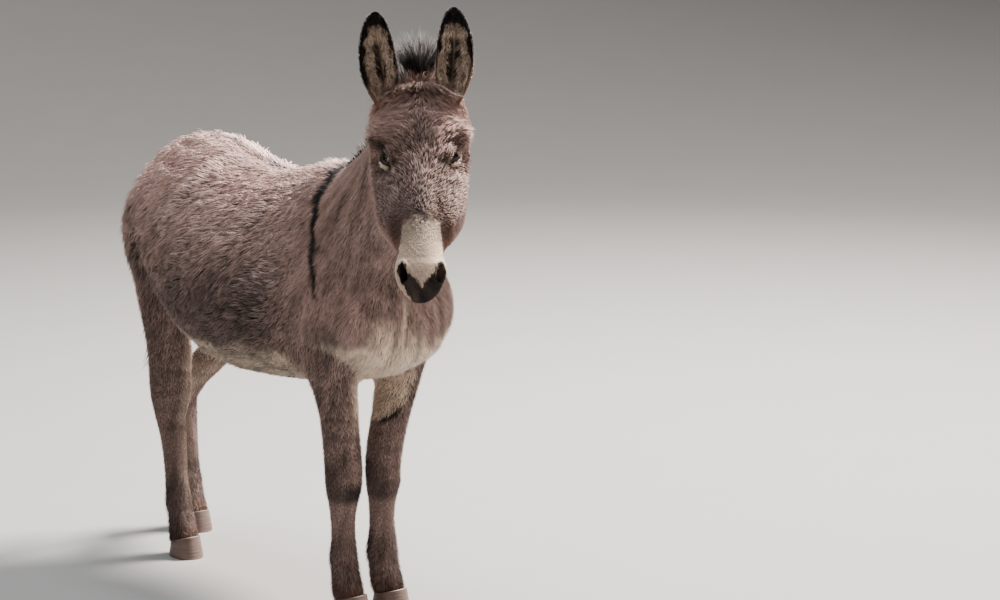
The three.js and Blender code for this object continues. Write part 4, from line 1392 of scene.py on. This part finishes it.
# ---------------------------------------------------------------- hooves
HOOF_ROWS, HOOF_POINTS = 30, 56
HOOF_SLOPE = 26 * MM             # how much lower the coronet is at the heel than at the toe
HOOF_MIDDLE = 60 * MM            # behind the toe
HOOF_INSET = 0.8 * MM            # inside the solid, so that the rings stay in its box


def squarer(wave):
    """A sine or cosine that makes a ring a little squarer than a circle."""
    return np.sign(wave) * np.abs(wave) ** (2 / 2.2)


def hoof(name):
    """A narrow upright hoof with growth rings, cut at a slanting coronet, on a flat sole."""
    low, high = (np.array(corner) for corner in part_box(name))
    centre_x, half_width = (low[0] + high[0]) / 2, (high[0] - low[0]) / 2
    centre_y = low[1] + HOOF_MIDDLE
    angle = np.linspace(0, 2 * np.pi, HOOF_POINTS, endpoint=False)
    rings = []
    for share in np.linspace(0, 1, HOOF_ROWS):
        growth = 0.25 * MM * math.sin(share * 44) * (0.3 + 0.7 * (1 - share))
        reach = np.where(np.sin(angle) < 0, mix(60, 46, share) * MM, mix(45, 37, share) * MM)
        half = mix(half_width, half_width - 6 * MM, share)
        x = centre_x + (half - HOOF_INSET + growth) * squarer(np.cos(angle))
        y = centre_y + (reach - HOOF_INSET + growth) * squarer(np.sin(angle))
        slant = np.clip((y - low[1] - 12 * MM) / (90 * MM), 0, 1)
        top = mix(high[2], high[2] - HOOF_SLOPE, slant) - 0.2 * MM
        rounding = 1.2 * MM * max(0.0, 1 - share * 12)
        x = x - rounding * np.sign(x - centre_x) * np.abs(np.cos(angle))
        rings.append(np.stack([x, y, top * share], 1))
    return object_of_rings(name, rings)


# ---------------------------------------------------------------- long hair
def locks(name, root, direction, up, length, width, droop, marks, segments=5):
    """Long locks that leave their roots along direction and bend towards droop."""
    count = len(root)
    share = np.linspace(0, 1, segments + 1)[None, :, None]
    across = unit(np.cross(direction, up))
    bend = droop + across * rng.normal(0, 0.05, (count, 1)) * 2
    reach = length[:, None, None]
    lines = root[:, None] + direction[:, None] * reach * share + bend[:, None] * reach * share ** 2
    curl = np.sin(share * 5 + rng.uniform(0, 6, (count, 1, 1))) * share * 0.035
    lines = lines + across[:, None] * curl * reach
    widths = width[:, None] * np.array([0.8, 1.0, 1.0, 0.85, 0.6])[None, :segments]
    strand = rng.uniform(0, 1, (count, 2))
    bake = rng.uniform(0.02, 0.97, (count, 2))
    return hair_piece(name, lines, across, unit(up), widths, marks, strand, bake)


def dark_marks(count):
    return np.tile([0, 0.85, 0.1, 0.5], (count, 1)) + rng.uniform(-0.12, 0.12, (count, 4)) * [0, 1, 1, 1]


# The crest of the neck from the poll to the withers.
CREST = [
    in_head(-34 * MM, 66 * MM, 0), (-0.068, -0.511, 1.266), (-0.034, -0.431, 1.228), (0.006, -0.341, 1.172),
    (0.036, -0.241, 1.110), (0.048, -0.151, 1.078),
]


def crest_line(share):
    rows = np.column_stack([np.linspace(0, 1, len(CREST)), np.array(CREST)])
    return along(rows, share)


def mane(count=2200):
    """Short upright hair along the crest of the neck, dark in the middle."""
    share = rng.uniform(0.0, 1.0, count)
    point = crest_line(share)
    ahead = unit(crest_line(np.clip(share + 0.02, 0, 1)) - crest_line(np.clip(share - 0.02, 0, 1)))
    side = unit(np.cross(ahead, np.broadcast_to(UP, (count, 3))))
    spread = rng.normal(0, 0.45, count)
    root = point + side * (np.clip(spread, -1, 1) * 9 * MM)[:, None] - UP * 10 * MM
    direction = unit(UP + side * (spread * 0.5)[:, None] - ahead * 0.05 + rng.normal(0, 0.10, (count, 3)))
    size = along([[0, 22], [0.12, 40], [0.5, 48], [0.85, 38], [1, 20]], share)[:, 0] * MM
    length = size * rng.uniform(0.75, 1.05, count)
    width = rng.uniform(2.0, 3.4, count) * MM
    droop = side * (np.sign(spread) * 0.10)[:, None] + ahead * 0.10
    marks = dark_marks(count)
    marks[:, 1] = np.clip(1.0 - 0.22 * ramp(0.8, 1.2, np.abs(spread)), 0, 1)
    return locks("mane_hair", root, direction, ahead, length, width, droop, marks, 4)


FORELOCK_ROOT = in_head(-12 * MM, 34 * MM, 2 * MM)
# Running shares of the fan, the dark hair beside it, pale fluff and the poll's standing hair. The rest falls.
FORELOCK_PARTS = (0.32, 0.45, 0.49, 0.75)


def forelock(count=1500):
    """A fan of dark locks between the ears, dark hair beside it, and pale hair that falls off the poll."""
    part = np.searchsorted(FORELOCK_PARTS, rng.uniform(0, 1, count))

    def kind(*values):
        """Each lock's value, from one for each of the five parts."""
        return np.array(values)[part]

    spread = rng.uniform(-1, 1, count)
    depth = rng.uniform(-1, 1, count)
    outer = np.sign(spread) * kind(0, 22, 14, 0, 0)
    across = outer + kind(6, 22, 5, 24, 30) * spread
    root = FORELOCK_ROOT + LEFT * (across * MM)[:, None]
    root = root + HEADING * ((depth * kind(8, 8, 4, 14, 16) + kind(-16, -20, 0, 4, 14)) * MM)[:, None]
    root = root + UP * ((kind(0, -6, -2, 5, 9) - kind(0, 0, 0, 10, 16) * spread ** 2) * MM)[:, None]
    direction = UP + LEFT * (kind(0.10, 0.5, 0.3, 0.5, 0.9) * spread)[:, None]
    direction = direction + HEADING * (kind(0.05, 0.0, 0.1, 0.22, 0.40) + 0.12 * depth)[:, None]
    direction = unit(direction + rng.normal(0, 0.07, (count, 3)))
    length = kind(156, 90, 70, 86, 92) - kind(26, 10, 0, 40, 8) * np.abs(spread)
    length = length * rng.uniform(kind(0.62, 0.62, 0.62, 0.5, 0.35), 1.0) * MM
    width = kind(2.6, 3.2, 2.0, 2.0, 1.8) * rng.uniform(0.75, 1.2, count) * MM
    droop = LEFT * (kind(0.50, 0.2, 0.1, 0.50, 0.55) * spread)[:, None]
    droop = droop - UP * kind(0.05, 0.0, 0.0, 0.34, 0.84)[:, None]
    droop = droop + HEADING * kind(0.0, 0.0, 0.0, 0.12, 0.30)[:, None]
    pale, dark = kind(0.0, 0.0, 0.7, 0.05, 0.05), kind(0.95, 0.97, 0.0, 0.10, 0.10)
    rust, light = kind(0.3, 0.2, 0.1, 0.42, 0.42), kind(0.25, 0.30, 0.5, 0.45, 0.36)
    marks = np.column_stack([pale, dark, rust, light])
    marks[:, 3] = np.clip(marks[:, 3] + rng.normal(0, 0.16, count), 0, 1)
    marks[:, 1] = np.clip(marks[:, 1] + rng.normal(0, 0.07, count), 0, 1)
    return locks("forelock_hair", root, direction, LEFT + 0 * root, length, width, droop, marks)


# The line down the tail's end: height, x and y. It starts at the solid's own low end.
TAIL_LINE = [[0.56, 0.0540, 0.789], [0.69, 0.0530, 0.793], [0.80, 0.0520, 0.793]]
SWITCH_TOP = 0.74


def tail_switch(count=1700):
    """The long dark hair at the end of the tail."""
    low_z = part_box("tail_switch")[0].z
    height = rng.uniform(low_z + 0.10, SWITCH_TOP, count)
    centre = along([[low_z, *middle_of("tail_switch")[:2]], *TAIL_LINE], height)
    angle = rng.uniform(0, 2 * np.pi, count)
    outward = rows_of(np.cos(angle), np.sin(angle), 0.0)
    reach = 8 * MM * np.sqrt(rng.uniform(0, 1, count))
    root = np.column_stack([centre, height]) + outward * reach[:, None]
    direction = unit(-UP + outward * 0.01 + rng.normal(0, 0.006, (count, 3)))
    length = np.minimum(rng.uniform(0.10, 0.20, count), (height - low_z) * rng.uniform(0.93, 1.0, count))
    width = rng.uniform(2.2, 3.6, count) * MM
    droop = -outward * 0.03
    return locks("tail_switch_hair", root, direction, outward, length, width, droop, dark_marks(count))


# ---------------------------------------------------------------- build
finder = flesh_finder()
skin_mesh = make_skin(finder)
skin = Skin(skin_mesh, finder)
store(skin_mesh, "marks", markings(skin.place))
skin_object = new_object("skin", skin_mesh)

MARKINGS = markings_group()
COAT = coat_material(MARKINGS)
SKIN = skin_material(MARKINGS)
EYE = eye_material()
HORN = hoof_material()


def finish_piece(piece, material, nodes=()):
    piece.data.materials.clear()
    piece.data.materials.append(material)
    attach(piece, "root")
    if nodes:
        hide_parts(*nodes)
    return piece


finish_piece(skin_object, SKIN, FLESH)


def fit(u, v, u_range, v_range):
    """An unwrap's coordinates, stretched to fill a coat piece's map."""
    u = (u - u_range[0]) / (u_range[1] - u_range[0])
    v = (v - v_range[0]) / (v_range[1] - v_range[0])
    return 0.01 + 0.975 * np.clip(np.stack([u, v], 1), 0, 1)


def trunk_unwrap(side, y_range):
    """Round the body's length, on one side."""
    def unwrap(place):
        angle = np.arctan2((place.x - BODY_MID_X) * side, place.z - 0.80) / np.pi
        return fit(angle, place.y, (-0.15, 1.1), y_range)
    return unwrap


def neck_unwrap(place):
    """Round the neck, whose middle shifts towards the body's."""
    middle = mix(0.0, BODY_MID_X, ramp(-0.5, -0.2, place.y))
    angle = np.arctan2(place.x - middle, 1e-9 - place.y - 0.33)
    return fit(angle / np.pi, place.z + 0.15 * place.y, (-1, 1), (0.68, 1.24))


def head_unwrap(side):
    """Round the head's length, on one side."""
    def unwrap(place):
        angle = np.arctan2(place.left * side, 0.09 - place.behind) / np.pi
        return fit(angle, place.down, (-0.12, 1.05), (-0.06, 0.48))
    return unwrap


def legs_unwrap(nodes):
    """Each leg round its own upright axis, side by side."""
    centres = [middle_of(n)[:2] for n in nodes]
    def unwrap(place):
        first = np.abs(place.co[:, :2] - centres[0]).sum(1) < np.abs(place.co[:, :2] - centres[1]).sum(1)
        centre = np.where(first[:, None], centres[0], centres[1])
        angle = np.arctan2(place.x - centre[:, 0], place.y - centre[:, 1]) / np.pi
        return fit(np.where(first, 0, 2) + angle + 1, place.z, (0, 4), (0.03, 0.9))
    return unwrap


# Which triangles of the skin each coat piece grows on. Shoulder and barrel mingle, so that no line shows.
owner = np.argmax(skin.place.shares[skin.triangles].sum(1), 1)
of_node = {name: owner == i for i, name in enumerate(FLESH)}
mingled = rng.uniform(-0.08, 0.08, len(skin.centre))
front = skin.centre[:, 1] + mingled < -0.10
rear = skin.centre[:, 1] > 0.22
on_body = {-1: skin.centre[:, 0] < BODY_MID_X, 1: skin.centre[:, 0] >= BODY_MID_X}
on_head = {-1: head_coordinates(skin.centre)[2] <= 0, 1: head_coordinates(skin.centre)[2] > 0}
TRUNK_PIECES = [
    ("shoulder", front, 27000, (-0.42, -0.01), False),
    ("barrel", ~front & ~rear, 19500, (-0.19, 0.23), True),
    ("rump", rear, 25000, (0.21, 0.76), True),
]
# Name, triangles of the skin, hairs, unwrap, and whether the hairs bend.
PIECES = []
for part, where, count, y_range, bent in TRUNK_PIECES:
    for name, side in SIDES.items():
        chosen = of_node["trunk"] & on_body[side] & where
        if (part, side) == ("rump", 1):
            chosen |= of_node["tail"]
        PIECES.append((f"coat_{part}_{name}", chosen, count, trunk_unwrap(side, y_range), bent))
PIECES.append(("coat_neck", of_node["neck"], 42000, neck_unwrap, False))
for name, side in SIDES.items():
    PIECES.append((f"coat_head_{name}", of_node["head"] & on_head[side], 27000, head_unwrap(side), True))
for name, pair, count in (("forelegs", LEGS[:2], 31000), ("hindlegs", LEGS[2:], 33000)):
    chosen = of_node[pair[0]] | of_node[pair[1]]
    PIECES.append((f"coat_{name}", chosen, count, legs_unwrap(pair), False))
for name, chosen, count, unwrap, bent in PIECES:
    finish_piece(coat(name, skin, chosen, count, unwrap, bent), COAT)

for name, side in SIDES.items():
    finish_piece(eyeball(f"eyeball_{name}", side), EYE, [f"eye_{name}"])
    finish_piece(lashes(f"lashes_{name}", side), COAT)
    ear = Ear(side)
    finish_piece(ear_shell(f"ear_skin_{name}", ear), SKIN, [f"ear_{name}"])
    finish_piece(ear_coat(f"ear_hair_{name}", ear, 7000), COAT)

for leg in LEGS:
    node = leg.replace("leg", "hoof")
    finish_piece(hoof(node), HORN, [node]).name = f"horn_{node}"

finish_piece(mane(), COAT, ["mane"])
finish_piece(forelock(), COAT, ["forelock"])
finish_piece(tail_switch(), COAT, ["tail_switch"])


# ---------------------------------------------------------------- floor, light and camera
def plain_material(name, colour, roughness):
    material, n, shader = new_material(name, Roughness=roughness)
    lighter = tuple(min(1, c * 1.06) for c in colour)
    n.join(n.blend(n.noise(3.0, 4.0), colour, lighter), shader, "Base Color")
    return material


def backdrop(flat=8.0, curve=5.0, height=9.0):
    """A pale floor that curves up into a wall far off, all the way round."""
    turn = np.linspace(0, math.pi / 2, 14)
    radii = [0.0, 2.0, 5.0, *(flat + curve * np.sin(turn)), flat + curve]
    heights = [0.0, 0.0, 0.0, *(curve - curve * np.cos(turn)), height]
    shape = bmesh.new()
    ring = [shape.verts.new((radius, 0, z)) for radius, z in zip(radii, heights)]
    lines = [shape.edges.new(pair) for pair in zip(ring, ring[1:])]
    bmesh.ops.spin(shape, geom=ring + lines, cent=(0, 0, 0), axis=(0, 0, 1), angle=2 * math.pi, steps=96,
                   use_merge=True)
    return object_from("backdrop", shape)


floor = backdrop()
floor.data.materials.append(plain_material("pale_floor", linear(124, 122, 119), 0.9))


def area_light(name, place, target, size, power, colour):
    lamp = bpy.data.lights.new(name, "AREA")
    lamp.shape = "DISK"
    lamp.size = size
    lamp.energy = power
    lamp.color = colour
    made = new_object(name, lamp)
    made.location = place
    made.rotation_euler = (Vector(target) - Vector(place)).to_track_quat("-Z", "Y").to_euler()


CHEST = (0.0, -0.2, 0.8)
area_light("key", (3.7, 0.1, 6.3), CHEST, 2.2, 4000, (1.0, 0.95, 0.90))
area_light("sky", (0.0, 1.0, 7.0), (0.0, 0.2, 1.0), 4.0, 900, (0.93, 0.96, 1.0))

world = bpy.data.worlds.new("studio")
world.use_nodes = True
background = world.node_tree.nodes["Background"]
background.inputs["Color"].default_value = (0.84, 0.90, 1.0, 1)
background.inputs["Strength"].default_value = 0.24
bpy.context.scene.world = world

camera_data = bpy.data.cameras.new("camera")
camera_data.sensor_width = 36
camera_data.lens = 79.2
camera_data.clip_end = 200
camera = new_object("camera", camera_data)
CAMERA_PLACE = (-2.9372, -4.4167, 1.64)
CAMERA_YAW, CAMERA_PITCH = math.radians(38.9), math.radians(9.63)
camera.location = CAMERA_PLACE
view = Vector((
    math.sin(CAMERA_YAW) * math.cos(CAMERA_PITCH),
    math.cos(CAMERA_YAW) * math.cos(CAMERA_PITCH),
    -math.sin(CAMERA_PITCH),
))
camera.rotation_euler = view.to_track_quat("-Z", "Y").to_euler()
bpy.context.scene.camera = camera
